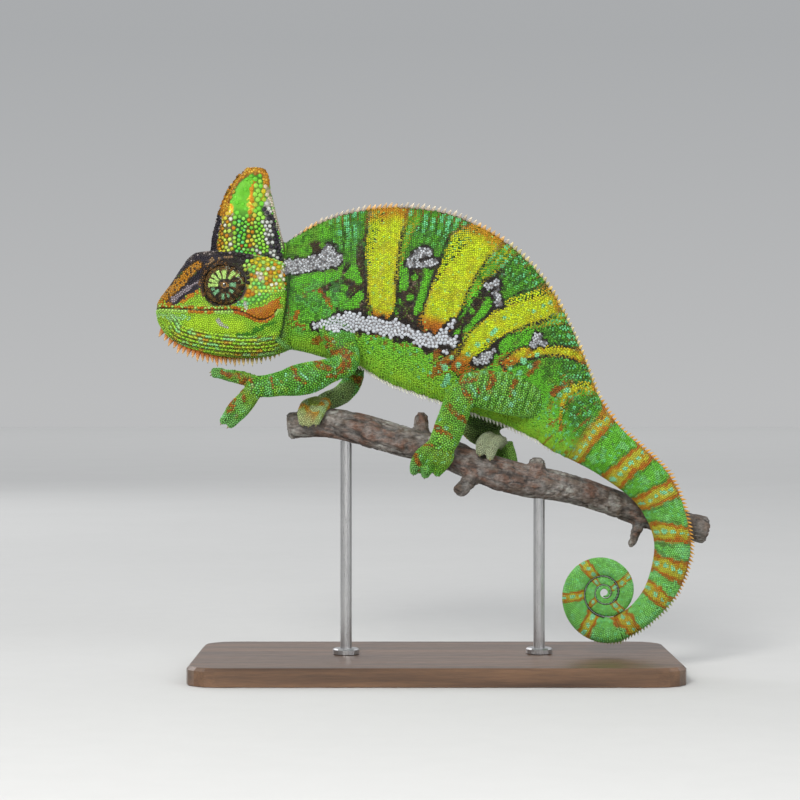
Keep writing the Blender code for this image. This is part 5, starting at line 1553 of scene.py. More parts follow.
def body_rows(s0, s1, pitch, seed):
    """Roots in rows round the body: station, angle, gap between rows, gap in the row, place, rearward."""
    out_s, out_a, out_h, out_w = [], [], [], []
    s, number = s0, 0
    grid = np.linspace(0, 2 * math.pi, 241)
    while s < s1:
        f = spine_frame(np.full(len(grid), s))
        f2 = spine_frame(np.full(len(grid), s + 0.01))
        ring, ring2 = section_point(f, grid), section_point(f2, grid)
        mean_run = (f["run_back"][0] + f["run_belly"][0]) / 2
        step = pitch / mean_run
        row_gap = np.linalg.norm(ring2 - ring, axis=1) / 0.01 * step
        width = np.clip(row_gap, pitch * 0.76, pitch * 1.3)
        ds = np.linalg.norm(np.diff(ring, axis=0), axis=1)
        load = np.concatenate([[0], np.cumsum(ds / ((width[1:] + width[:-1]) / 2 * 1.08))])
        total = max(6, int(round(load[-1])))
        marks = (np.arange(total) + (0.5 if number % 2 else 0.0) + 0.25) * load[-1] / total
        angle = np.interp(marks % load[-1], load, grid)
        out_s.append(np.full(total, s))
        out_a.append(angle)
        out_h.append(np.interp(angle, grid, row_gap))
        out_w.append(np.interp(angle, grid, width))
        s += step * 0.93
        number += 1
    s, a, h, w = (np.concatenate(rows) for rows in (out_s, out_a, out_h, out_w))
    rng = np.random.default_rng(seed)
    f = spine_frame(s + rng.normal(0, 0.004, len(s)))
    points = section_point(f, a + rng.normal(0, 0.004, len(s)))
    return s, a, h, w, points, f["along"]


def neighbour_gap(points):
    """Mean distance from each root to its nearest three."""
    tree = kd_tree(points)
    return np.array([np.mean([d for _, _, d in tree.find_n(p, 4)][1:]) for p in points])


def body_coat(flesh, coat):
    """Small tiles in rows round the neck, trunk, hip and tail."""
    lengths = [("neck", 0.02, 2.0, 0.90), ("trunk", 2.0, 8.4, 0.90), ("hip", 8.4, 12.0, 0.90),
               ("tail_base", 12.0, 15.6, 0.88), ("tail_middle", 15.6, 20.9, 0.86),
               ("tail_curl_outer", 20.9, COIL_SPLIT, 0.78),
               ("tail_curl_inner", COIL_SPLIT, SPINE_END - 0.3, 0.62)]
    for number, (name, s0, s1, pitch) in enumerate(lengths):
        pitch = pitch * BODY_SPARSE
        s, a, h, w, points, along = body_rows(s0, s1, pitch, 100 + number)
        place, normal, face = flesh.snap(points)
        ok = in_nodes(flesh.region_at(face), BODY_NODES)
        ok &= np.linalg.norm(place - points, axis=1) < 2.2
        ok &= ~coil_contact(s, (1 + np.cos(a)) / 2, 0.045)
        s, a, h, w, place, normal, along = s[ok], a[ok], h[ok], w[ok], place[ok], normal[ok], along[ok]
        colour = body_paint(s, height_share(s, place), place)
        rng = np.random.default_rng(200 + number)
        size = 1 + rng.normal(0, 0.05, len(s))
        colour = colour * (1 + rng.normal(0, 0.09, len(s)))[:, None]
        rise = 0.32 * pitch * (1 + rng.normal(0, 0.12, len(s)))
        uv = uv_inside(np.stack([(s - s0) / (s1 - s0), a / (2 * math.pi)], axis=1))
        length, width = h * TILE_SHARE * size, w * TILE_SHARE * size
        coat.add("scales_" + name, "body_skin", place, normal, along, length, width, rise,
                 colour, uv, 6, 0.14)


def stripe_coat(flesh, coat, rng):
    """Larger flat tiles of the pale side stripe and of the grey marks."""
    body = in_nodes(flesh.region, BODY_NODES) & (flesh.s < 11.5)
    stripe, grey = np.full(len(flesh.points), -9.0), np.full(len(flesh.points), -9.0)
    stripe[body] = stripe_reach(flesh.points[body])
    arm = in_nodes(flesh.region, ["upper_arm_left", "upper_arm_right"])
    arm &= (flesh.points[:, 2] > 152.0) & (abs(flesh.points[:, 1]) > 11.0)
    stripe[arm] = stripe_reach(flesh.points[arm])
    station = np.where(flesh.s < -0.5, (flesh.points[:, 0] + 62.0) / STATION, flesh.s)
    grey[body] = grey_reach(flesh.s[body], flesh.t[body], flesh.points[body])
    for reach, name, gap, low in ((stripe, "scales_side_stripe", 1.50, 1.0),
                                  (grey, "scales_grey_marks", 1.12, -0.5)):
        gap = gap * STRIPE_SPARSE
        faces = np.nonzero((reach[flesh.triangles] > -0.25).all(axis=1))[0]
        roots = even_spread(flesh, faces, lambda p, gap=gap: np.full(len(p), gap), 10, rng)
        place, normal, face = flesh.snap(roots)
        corner = flesh.triangles[face, 0]
        keep = reach[corner] > -0.6
        place, normal, corner = place[keep], normal[keep], corner[keep]
        gaps = np.clip(neighbour_gap(place), 0.7, gap * 1.15) * TILE_SHARE
        count = len(place)
        colour = plain(STRIPE, count) * (1 + rng.normal(0, 0.08, count))[:, None]
        tile = rng.random(count)
        if name == "scales_grey_marks":
            colour = colour * choose(tile, [(0.45, (0.62, 0.62, 0.60)), (0.80, (0.95, 0.95, 0.93)),
                                            (1.0, (0.22, 0.22, 0.22))])
        x, z = side_view(place)
        colour = lay(colour, DARK, patch_mask(x, z, GREY_HOLES, 0.0))
        turn = rng.random(count) * math.pi
        ahead = np.stack([np.cos(turn), np.zeros(count), np.sin(turn)], axis=1)
        long = 1 + abs(rng.normal(0, 0.08, count))
        v = 0.5 + np.sign(place[:, 1]) * (0.02 + 0.46 * flesh.t[corner])
        uv = np.stack([uv_inside(np.clip((station[corner] - low) / 12.0, 0, 1)), v], axis=1)
        coat.add(name, "body_skin", place, normal, ahead, gaps * long, gaps / long, 0.20, colour, uv, 7)


def limb_side(name, points, flesh):
    """1 on the side of a limb that faces the other limb, 0 on its outer side."""
    middle = abs(flesh.arrays[name][0][:, 1]).mean()
    return ramp(0.8, -0.8, abs(points[:, 1]) - middle)


def height_share(s, points):
    """Height of points in the body section at stations s, 0 belly to 1 back."""
    f = spine_frame(s)
    return np.clip((np.sum((points - f["mid"]) * f["up"], axis=1) / f["half"] + 1) / 2, 0, 1)


def head_spacing(points):
    """Distance between scales on the head, jaw and casque."""
    x, z = points[:, 0], points[:, 2]
    lip = z - mouth_height(x)
    h = np.where(lip > 2, 1.10, 1.02)
    uneven = 0.8 + 0.4 * noise(points, 3.6, 19)
    temple = ramp(-88.5, -86.5, x) * ramp(164.2, 166.0, z) * ramp(188.0, 187.0, z)
    h = h + (2.1 * uneven - h) * temple
    low = ramp(-76.0, -71.0, x) * ramp(175.0, 170.0, z) * (lip > 0)
    h = h + (1.15 - h) * low
    eye = eye_distance(points)
    h = np.where((eye < 1.25) & (z < 187) & (x < EYE_X + 5.5), 0.85, h)
    plate = ramp(186.5, 188.0, z) * ramp(-0.8, 0.6, x - casque_front(z))
    h = h + (2.15 * uneven + 0.6 * ramp(201.0, 207.0, z) - h) * plate
    rear, _ = line_distance(x, z, CASQUE_REAR)
    h = np.where((rear < 1.2) & (z > 180), 1.1, h)
    rim, _ = line_distance(*side_view(points), CASQUE_EDGE)
    h = np.where((z > 198) & (rim < 2.5), 1.35, h)
    return np.where(inside_outline(x, z, MOUTH_LOBE), 0.95, h)


def plate_share(points):
    """1 inside the smooth upper plate of the casque, 0 outside it and on its border."""
    rim, _ = line_distance(*side_view(points), CASQUE_EDGE)
    ragged = points[:, 2] + 9.0 * (noise(points, 3.4, 92) - 0.5)
    inner = ramp(2.8, 3.6, rim) * ramp(204.0, 208.5, ragged)
    return inner * ramp(-80.5, -83.0, points[:, 0]) * ramp(1.0, 2.0, abs(points[:, 1]))


def cast_scales(flesh, places):
    """Skin points reached from both sides at side-view (x, z, mark) places, with the marks."""
    roots, marks = [], []
    for x, z, mark in places:
        for y_side in (-1, 1):
            hit = flesh.tree.ray_cast(Vector((x, y_side * 30.0, z)), Vector((0, -y_side, 0)))
            if hit[0] is not None and abs(hit[0].y) > 0.6:
                roots.append(tuple(hit[0]))
                marks.append(mark)
    return np.array(roots), np.array(marks)


def node_axis(points):
    """Middle and main directions of a node, the first along its length."""
    middle = points.mean(axis=0)
    _, _, rows = np.linalg.svd(points - middle, full_matrices=False)
    return middle, rows


def around_axis(points, middle, rows):
    """Distance along the axis and angle round it."""
    q = (points - middle) @ rows.T
    return q[:, 0], np.arctan2(q[:, 2], q[:, 1])


def uv_inside(share):
    """Shares from 0 to 1 moved inside the thin free margin of a piece's UV map."""
    return UV_MARGIN + (1 - 2 * UV_MARGIN) * share


def wrapped_uv(q, angle):
    """UV places from distances along an axis and angles round it."""
    share = (q - q.min()) / (q.max() - q.min() + 1e-6)
    return np.stack([uv_inside(share), uv_inside(0.5 + angle / (2 * math.pi))], axis=1)


def head_coat(flesh, coat, rng):
    """Beads and granules of the head, jaw and casque."""
    def spacing(p):
        return head_spacing(p) * SPARSE
    roots = even_spread(flesh, flesh.faces_of(HEAD_NODES), spacing, 11, rng)
    place, normal, face = flesh.snap(roots)
    region = flesh.region_at(face)
    kind = head_kind(region)
    gap = neighbour_gap(place)
    lip = abs(place[:, 2] - mouth_height(place[:, 0]))
    eye = eye_distance(place)
    keep = in_nodes(region, HEAD_NODES)
    keep &= (lip > 1.15) | (place[:, 0] > -70.5) | (kind == CASQUE)
    keep &= (eye > 1.03) | (kind != HEAD) | (abs(place[:, 1]) < 4)
    keep &= (plate_share(place) < 0.5) | (kind != CASQUE) | (rng.random(len(place)) < 0.45)
    place, normal, kind, gap = place[keep], normal[keep], kind[keep], gap[keep]
    tile = rng.random(len(place))
    colour = head_paint(place, kind, tile) * (1 + rng.normal(0, 0.05, len(place)))[:, None]
    size = np.clip(gap, 0.6, spacing(place) * 1.06) * 0.5
    big = ramp(0.75, 1.0, size)
    flat = (kind == CASQUE) * ramp(200.0, 207.0, place[:, 2])
    rise = size * (0.58 + 0.16 * big) * (1 - 0.74 * flat)
    size = size * (1 + 0.12 * flat - 0.22 * plate_share(place) * (kind == CASQUE))
    along, across, up = np.eye(3)
    for k, name in enumerate(HEAD_NODES):
        own = kind == k
        slot = "casque_skin" if k == CASQUE else "head_skin"
        middle, _ = node_axis(flesh.arrays[name][0])
        rows = np.array([up, along, across] if k == CASQUE else [along, up, across])
        uv = wrapped_uv(*around_axis(place[own], middle, rows))
        ahead = np.tile([1.0, 0.0, -0.25], (own.sum(), 1))
        coat.add("scales_" + name, slot, place[own], normal[own], ahead, size[own], size[own],
                 rise[own], colour[own], uv, 8, 0.08)


def lip_coat(flesh, coat, rng):
    """Rows of scales along the mouth, above and below it."""
    fine_x = np.linspace(-124.0, -72.0, 400)
    run = np.concatenate([[0], np.cumsum(np.hypot(np.diff(fine_x), np.diff(mouth_height(fine_x))))])
    line = np.interp(np.arange(0.8, run[-1], 1.5), run, fine_x)
    height = mouth_height(line)
    places = [(x, z + up * 0.85, up) for x, z in zip(line, height) for up in (1, -1)]
    root, up = cast_scales(flesh, places)
    place, normal, _ = flesh.snap(root)
    shifted = place.copy()
    shifted[:, 2] = mouth_height(place[:, 0]) + up * 1.2
    colour = head_paint(shifted, np.where(up > 0, HEAD, JAW), rng.random(len(place)))
    v = 0.25 + 0.5 * (place[:, 1] > 0) + 0.1 * (up < 0)
    uv = np.stack([uv_inside((place[:, 0] + 125) / 56), v], axis=1)
    ahead = np.tile([1.0, 0.0, 0.0], (len(place), 1))
    coat.add("scales_lips", "head_skin", place, normal, ahead, 0.72, 0.58, 0.40, colour, uv, 8, 0.0)


def throat_coat(flesh, coat, rng):
    """Rows of long scales along the throat."""
    near = 1.0 - THROAT_DEPTH / VIEW_DEPTH
    throat = np.array(THROAT_LINE)
    steps = np.diff(throat, axis=0)
    lengths = np.hypot(steps[:, 0], steps[:, 1])
    places = []
    for row in range(THROAT_ROWS):
        along = 0.4 + 0.9 * (row % 2)
        while along < lengths.sum() - 2.0:
            k = int(np.searchsorted(np.cumsum(lengths), along))
            f = (along - lengths[:k].sum()) / lengths[k]
            dx, dz = steps[k] / lengths[k]
            away = (row + THROAT_START) * THROAT_PITCH
            x, z = throat[k] + steps[k] * f + np.array((-dz, dx)) * away
            places.append((VIEW_CENTRE[0] + (x - VIEW_CENTRE[0]) * near,
                           VIEW_CENTRE[1] + (z - VIEW_CENTRE[1]) * near, along + 100 * row))
            along += 1.85
    root, marks = cast_scales(flesh, places)
    keep = (root[:, 0] < -71.0) & (marks % 100 < 62 - 3.0 * (marks // 100))
    place, normal, _ = flesh.snap(root[keep])
    colour = head_paint(place, np.full(len(place), JAW), rng.random(len(place)))
    marks = marks[keep]
    k = np.clip(np.searchsorted(np.cumsum(lengths), marks % 100), 0, len(steps) - 1)
    ahead = np.stack([steps[k, 0], np.zeros(len(k)), steps[k, 1]], axis=1)
    v = 0.05 + 0.05 * (marks // 100) + 0.5 * (place[:, 1] > 0)
    uv = np.stack([uv_inside((marks % 100) / 75), v], axis=1)
    coat.add("scales_throat", "head_skin", place, normal, unit(ahead), 0.90, 0.60, 0.40, colour, uv, 8, 0.05)


def limb_share(name, points, flesh):
    """Share of the way from the body to the tip of a limb or a toe bundle."""
    nodes, _ = flesh.arrays[name]
    middle, rows = node_axis(nodes)
    axis = rows[0]
    ends = nodes @ axis
    start, finish = ends.min(), ends.max()
    trunk_side = {"upper_arm": (-45, 158), "thigh": (44, 122), "forearm": (-38, 137), "shank": (13, 118)}
    key = name.rsplit("_", 1)[0]
    if key in trunk_side:
        root = np.array([trunk_side[key][0], middle[1], trunk_side[key][1]])
    else:
        limb = ("forearm_" if name.startswith("hand") else "shank_") + ("left" if "left" in name else "right")
        root = flesh.arrays[limb][0].mean(axis=0)
    share = (points @ axis - start) / (finish - start)
    if abs(root @ axis - start) > abs(root @ axis - finish):
        share = 1 - share
    return share


def limb_coat(flesh, coat, rng):
    """Round granules of the limbs, hands and feet, smallest on the toes."""
    for group, wanted in ((LIMB_NODES, 1.12 * SPARSE), (TOE_NODES, 0.94 * SPARSE)):
        def spacing(p, wanted=wanted):
            return wanted * (0.86 + 0.28 * noise(p, 6.0, 16))
        roots = even_spread(flesh, flesh.faces_of(group), spacing, 9, rng)
        place, normal, face = flesh.snap(roots)
        region = flesh.region_at(face)
        gap = neighbour_gap(place)
        for name in group:
            own = region == FLESH_NODES.index(name)
            if own.sum() < 4:
                continue
            p = place[own]
            share = limb_share(name, p, flesh)
            colour = limb_paint(p, name, share, limb_side(name, p, flesh))
            colour = colour * (1 + rng.normal(0, 0.12, len(p)))[:, None]
            middle, rows = node_axis(flesh.arrays[name][0])
            uv = wrapped_uv(*around_axis(p, middle, rows))
            size = np.clip(gap[own], 0.55, wanted * 1.15) * 0.52
            coat.add("scales_" + name, "limb_skin", p, normal[own], np.tile(rows[0], (len(p), 1)), size, size,
                     size * 0.66, colour, uv, 6, 0.1)


# ---------------------------------------------------------------- spikes and claws
def horn_points(foot, aim, length, radius, sides, bend, rings=5):
    """Points and triangles of one closed curved spike."""
    aim = unit(np.asarray(aim, float))
    bend = np.asarray(bend, float)
    side = unit(np.cross(aim, [0.31, 0.52, 0.79]))
    other = np.cross(aim, side)
    points = []
    for k in range(rings):
        f = k / rings
        centre = np.asarray(foot) + aim * length * f + bend * length * f * f
        r = radius * (1 - f) ** 0.8
        for i in range(sides):
            a = 2 * math.pi * i / sides
            points.append(centre + side * r * math.cos(a) + other * r * math.sin(a))
    points.append(np.asarray(foot) + aim * length + bend * length)
    faces = tube_faces(rings, sides) + cap_faces(rings * sides, (rings - 1) * sides, sides, True)
    faces += [(0, i + 1, i) for i in range(1, sides - 1)]
    tips = np.array([k / rings for k in range(rings) for _ in range(sides)] + [1.0])
    return np.array(points), np.array(faces), tips


def horn_piece(name, horns, colour_of, finish):
    """One piece of many spikes; colour_of gives colours from a spike's number and its points' height."""
    shapes, colours, rise = [], [], []
    for k, horn in enumerate(horns):
        points, faces, tips = horn_points(*horn)
        shapes.append((points, faces))
        colours.append(colour_of(k, tips))
        rise.append(tips)
    obj = make_mesh(name, *joined(shapes), np.concatenate(colours))
    # rise: 0 at a spike's base, which the material darkens as painted shade
    put_number(obj.data, "rise", np.concatenate(rise))
    obj.data.materials.append(finish)
    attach(obj, "root")


def tipped(base, tip, share):
    """Colours from a spike's base to its tip."""
    share = share[:, None]
    return np.asarray(base) * (1 - share) + np.asarray(tip) * share


# Colours of the back crest from each station on, and where the yellow bands cross it.
CREST_COLOURS = [
    (0.0, (0.32, 0.25, 0.18), (0.66, 0.59, 0.46)), (12.0, (0.52, 0.19, 0.015), (0.66, 0.38, 0.08)),
    (19.0, (0.22, 0.34, 0.06), (0.50, 0.52, 0.26)),
]
CREST_BANDS = (1.5, 3.9, 7.0, 9.3, 10.8, 11.7)


def back_crest(rng, finish):
    """Comb of cones along the neck, trunk and tail."""
    horns, places = [], []
    s = 0.75
    while s < 40.0:
        f = spine_frame(np.array([s]))
        tall = float(np.interp(s, [0.7, 1.6, 3.0, 6.0, 8.0, 10.0, 11.5, 13.0, 17.0, 20.0, 24.0, 40.0],
                               [1.0, 2.0, 2.2, 1.95, 1.6, 1.3, 1.3, 1.9, 1.85, 1.4, 0.8, 0.35]))
        tall *= 1 + rng.normal(0, 0.10)
        pitch = float(np.interp(s, [0, 8, 11.5, 12.5, 20, 24, 40], [2.5, 2.4, 2.2, 1.9, 1.6, 1.25, 0.95]))
        aim = f["up"][0] + f["along"][0] * 0.30 + np.array([0.0, rng.normal(0, 0.05), 0.0])
        sink = min(COAT, 0.24 * f["half"][0]) + 0.75
        foot = f["back"][0] - f["up"][0] * sink
        horns.append((foot, aim, tall + sink - 0.1, 0.47 * pitch + 0.08, 7, f["along"][0] * 0.14))
        places.append(s)
        s += pitch / f["run_back"][0]

    def colour(k, tips):
        at = places[k]
        _, base, tip = [row for row in CREST_COLOURS if row[0] <= at][-1]
        if at <= 12.0:
            if min(abs(at - c) for c in CREST_BANDS) < 0.4:
                base, tip = (0.56, 0.28, 0.04), (0.68, 0.50, 0.30)
            if at > 7.5:
                base = np.array(base) * 0.5 + (0.22, 0.22, 0.04)
                tip = np.array(tip) * 0.6 + (0.27, 0.20, 0.06)
        return tipped(base, tip, tips) * (0.82 + 0.36 * rng.random())
    horn_piece("back_crest", horns, colour, finish)


def belly_crest(rng, finish):
    """Row of short white cones along the middle of the belly."""
    horns = []
    s = 2.3
    while s < 11.4:
        f = spine_frame(np.array([s]))
        tall = float(np.interp(s, [2.3, 2.9, 5.5, 8.0, 10.4, 11.4], [0.8, 2.2, 1.9, 1.5, 1.3, 0.6]))
        tall *= 1 + rng.normal(0, 0.10)
        foot = f["belly"][0] + f["up"][0] * (COAT + 0.6)
        horns.append((foot, -f["up"][0] + f["along"][0] * 0.3, tall + 0.9, 0.86, 7, f["along"][0] * 0.15))
        s += 1.75 / f["run_belly"][0]

    def colour(_, tips):
        return tipped((0.50, 0.52, 0.38), (0.80, 0.78, 0.72), tips) * (0.85 + 0.3 * rng.random())
    horn_piece("belly_crest", horns, colour, finish)


def throat_crest(flesh, rng, finish):
    """Comb of spikes from the chin to the throat."""
    found = sorted(flesh.spikes["lower_jaw"], key=lambda sp: sp[0][0])
    feet = np.array([sp[1] for sp in found])
    places = np.arange(len(found))
    count = 27
    horns = []
    for k in range(count):
        part = k / (count - 1)
        f = part * (len(found) - 1)
        foot = np.array([np.interp(f, places, feet[:, c]) for c in range(3)])
        lean = float(np.interp(part, [0, 0.15, 0.3, 0.42, 0.8, 1.0], [-0.70, -0.50, -0.22, 0.06, 0.0, 0.08]))
        aim = unit(np.array([lean, rng.normal(0, 0.05), -1.0]))
        length = float(np.interp(part, [0, 0.15, 0.35, 0.5, 0.75, 0.9, 1.0],
                                 [3.4, 4.4, 4.9, 4.3, 3.8, 2.4, 1.3]))
        length *= (1.08, 0.86, 1.0, 0.80)[k % 4] * (1 + rng.normal(0, 0.04))
        radius = float(np.interp(part, [0, 0.5, 1.0], [1.65, 1.50, 1.05]))
        bend = np.array([0.05, rng.normal(0, 0.03), 0.0])
        horns.append((foot - aim * 1.3, aim, length + 1.2, radius, 9, bend))

    def colour(k, tips):
        rearward = np.clip([(k - 12) / 8.0], 0, 1)
        base = tipped((0.44, 0.11, 0.010), (0.42, 0.30, 0.06), rearward)
        tip = tipped((0.78, 0.56, 0.26), (0.70, 0.64, 0.42), rearward)
        return tipped(base, tip, tips ** 2.0) * (0.84 + 0.24 * rng.random())
    horn_piece("throat_crest", horns, colour, finish)


def claws(flesh, finish):
    """Curved claws where the CAD toes end in spikes."""
    horns = []
    down = np.array([0.0, 0.0, -1.0])
    for name in TOE_NODES:
        for apex, foot in flesh.spikes[name]:
            aim = unit(apex - foot)
            bend = (down - aim * float(down @ aim)) * 0.25
            horns.append((foot - aim * 1.0, aim, 0.62 * np.linalg.norm(apex - foot) + 0.9, 0.80, 9, bend, 7))

    def colour(_, tips):
        return tipped((0.36, 0.36, 0.16), (0.14, 0.10, 0.05), tips ** 1.4)
    horn_piece("claws", horns, colour, finish)


# ---------------------------------------------------------------- eyes
# Pale patches round the opening: angle, inner and outer radius (mm), half width (mm).
EYE_PATCHES = [(180, 2.6, 7.4, 0.75), (160, 3.0, 7.4, 0.65), (141, 3.0, 7.4, 0.65), (118, 3.0, 7.3, 0.70),
               (92, 2.6, 6.6, 0.95), (55, 3.4, 7.4, 0.85), (38, 6.0, 7.8, 0.6), (2, 2.4, 4.9, 1.0),
               (-40, 3.0, 4.9, 0.75), (-72, 4.0, 5.6, 0.45), (-98, 3.8, 6.2, 0.65), (-140, 3.2, 6.2, 0.75),
               (-160, 4.6, 6.2, 0.5)]


def eye_paint(u, w, tile):
    """Colour of the turret at side-view offsets u rearward and w upward from the opening, in mm."""
    r = np.hypot(u, w)
    angle = np.degrees(np.arctan2(w, u))
    p = np.stack([u, w, np.zeros(len(u))], axis=1)
    col = plain((0.026, 0.018, 0.011), len(u))
    spoke = 0.5 + 0.5 * np.sin(np.radians(angle) * 17.0 + 3.0 * noise(p, 2.0, 82))
    col = lay_all(col, [
        ((0.15, 0.075, 0.022), ramp(0.55, 0.9, spoke) * ramp(2.5, 4.0, r) * (u > -2) * 0.6),
        ((0.17, 0.090, 0.022), ramp(6.6, 7.6, r) * (tile > 0.5 + 0.3 * (u > 1))),
        ((0.20, 0.48, 0.10), ramp(6.9, 7.6, r) * (u > 2) * (w < 3) * (tile < 0.22)),
        ((0.34, 0.40, 0.34), ramp(5.9, 6.6, r) * (u > 0) * (w > 2) * (tile < 0.14)),
        ((0.20, 0.13, 0.05), ramp(0.6, 0.75, noise(p, 1.1, 81)) * 0.4),
    ])
    for a, r0, r1, half in EYE_PATCHES:
        d = np.radians((angle - a + 180) % 360 - 180) * r
        grow = half * (0.62 + 0.5 * np.clip((r - r0) / (r1 - r0), 0, 1))
        mask = ramp(grow + 0.25, grow - 0.2, abs(d)) * ramp(r0 - 0.2, r0 + 0.3, r) \
            * ramp(r1 + 0.3, r1 - 0.3, r)
        tone = (0.44, 0.68, 0.18) if 20 < a < 185 else (0.22, 0.50, 0.26)
        col = lay(col, tone, mask)
    return lay(col, (0.36, 0.19, 0.06), ramp(2.1, 1.8, np.hypot(u, w * 1.35)) * (tile > 0.35))


def turret_point(side, out, angle, grow=0.0):
    """Place and normal on the turret; out runs from below 0 at its spread root to 1 at its tip."""
    flare = 1.0 + 0.045 * ramp(0.60, -0.10, out)
    scale = np.sqrt(np.maximum(0.0, 1 - out * out)) * flare
    p = np.stack([EYE_X + (EYE_RX + grow) * scale * np.cos(angle), side * (EYE_Y + (EYE_RY + grow) * out),
                  EYE_Z + (EYE_RZ + grow) * scale * np.sin(angle)], axis=1)
    n = np.stack([scale * np.cos(angle) / EYE_RX, side * (out + 0.25 * (flare - 1)) / EYE_RY,
                  scale * np.sin(angle) / EYE_RZ], axis=1)
    return p, unit(n)


TURRET_TOP = math.sqrt(1 - (1.5 / EYE_RX) ** 2)      # the opening starts this far out
# Rings of the lid rim: how far out, how wide, and how flat the almond is.
LID_RINGS = [
    (0.16, 0.99, 0.94), (0.24, 0.93, 0.80), (0.16, 0.87, 0.68), (-0.1, 0.84, 0.62), (-0.7, 0.83, 0.60),
]
BALL_RADIUS = 3.4
BALL_SUNK = 0.02                     # the eyeball's front lies this far inside the lid


def turret_fold(out):
    """Height of the turret's ring folds."""
    return 0.10 * math.sin(out * 40.0) - 0.15


def build_turret(name, side, finish):
    """Turret of skin with its lid rim; gives back the middle of its opening."""
    slices = 96
    arcs = np.linspace(math.asin(-0.3), math.asin(TURRET_TOP), 43)
    outs = np.concatenate([[-0.75, -0.6, -0.45], np.sin(arcs)])
    angles = 2 * math.pi * np.arange(slices) / slices
    rings = []
    for out in outs:
        p, n = turret_point(side, np.full(slices, out), angles)
        rings.append(p + n * turret_fold(out))
    last = rings[-1]
    centre = last.mean(axis=0)
    for push, spread, squash in LID_RINGS:
        ring = centre + (last - centre) * spread * (1.0, 1.0, squash)
        ring[:, 1] = centre[1] + side * push
        rings.append(ring)
    points, faces = closed_tube(np.array(rings))
    # painted shade: the turret's skin under its scales is darkened, and the lid's two inner rings are near
    # black inside the opening
    colour = eye_paint(points[:, 0] - EYE_X, points[:, 2] - EYE_Z, noise(points, 0.9, 83)) * 0.6
    from_end = len(rings) - np.arange(len(points)) // slices
    colour[from_end <= 5] = (0.26, 0.14, 0.05)
    colour[from_end <= 2] = (0.03, 0.02, 0.01)
    turret = make_mesh("turret_" + name, points, faces if side > 0 else faces[:, ::-1], colour)
    # rise 0.4: the material darkens the turret's skin further as painted shade
    put_number(turret.data, "rise", np.full(len(points), 0.4))
    turret.data.materials.append(finish)
    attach(turret, "root")
    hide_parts("eye_" + name)
    return centre


def turret_coat(name, side, coat, rng):
    """Fine scales of the turret, in rings round its opening."""
    roots, normals, uvs = [], [], []
    arc = math.asin(TURRET_TOP) - 0.03
    while arc > math.asin(-0.35):
        out = math.sin(arc)
        count = max(8, int(round(2 * math.pi * EYE_RX * math.cos(arc) / EYE_PITCH)))
        a = 2 * math.pi * (np.arange(count) + 0.5 * (len(roots) % 2)) / count
        p, n = turret_point(side, np.full(count, out), a)
        roots.append(p + n * (turret_fold(out) - 0.02))
        normals.append(n)
        reach = 0.48 * (1.6 - arc) / 2.0
        uvs.append(0.5 + reach * np.stack([np.cos(a), np.sin(a)], axis=1))
        arc -= EYE_PITCH * 0.88 / (EYE_RX * 0.93)
    root, normal, uv = np.concatenate(roots), np.concatenate(normals), np.concatenate(uvs)
    tile = rng.random(len(root))
    ahead = (root - (EYE_X, 0.0, EYE_Z)) * (1.0, 0.0, 1.0)
    colour = eye_paint(ahead[:, 0], ahead[:, 2], tile) * (1 + rng.normal(0, 0.1, len(root)))[:, None]
    size = EYE_PITCH * 0.50 * (1 + rng.normal(0, 0.06, len(root)))
    coat.add("scales_turret_" + name, "eye_skin", root, normal, ahead, size, size, 0.24, colour, uv, 6, 0.1)


def build_eyeball(name, side, opening, finish):
    """Glossy ball in the turret's opening, with a gold ring round its pupil."""
    slices, stacks = 64, 28
    centre = opening - np.array([0.0, side * (BALL_RADIUS - BALL_SUNK), 0.0])
    polar = math.pi * np.arange(1, stacks)[:, None] / stacks
    a = 2 * math.pi * np.arange(slices) / slices
    rings = np.stack(np.broadcast_arrays(np.sin(polar) * np.cos(a), side * np.cos(polar),
                                         np.sin(polar) * np.sin(a)), axis=-1)
    points, faces = closed_tube(centre + BALL_RADIUS * rings)
    points[-2:] = centre + BALL_RADIUS * np.array([(0.0, side, 0.0), (0.0, -side, 0.0)])
    r = np.hypot((points[:, 0] - EYE_X) * 0.8, points[:, 2] - EYE_Z)
    colour = plain((0.012, 0.009, 0.007), len(points))
    colour = lay(colour, (0.50, 0.30, 0.06), ramp(0.74, 0.84, r) * ramp(1.25, 1.1, r))
    ball = make_mesh("eyeball_" + name, points, faces if side > 0 else faces[:, ::-1], colour)
    ball.data.materials.append(finish)
    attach(ball, "root")
    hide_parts("eye_" + name)


# ---------------------------------------------------------------- perch
# Knots of the branch: x, y, z and radius.
BRANCH_KNOTS = [(-53.0, -6.5, 113.0, 3.4), (-12.0, -6.0, 101.5, 3.2), (46.0, -6.0, 92.0, 3.0),
                (98.0, 6.0, 70.0, 3.6)]


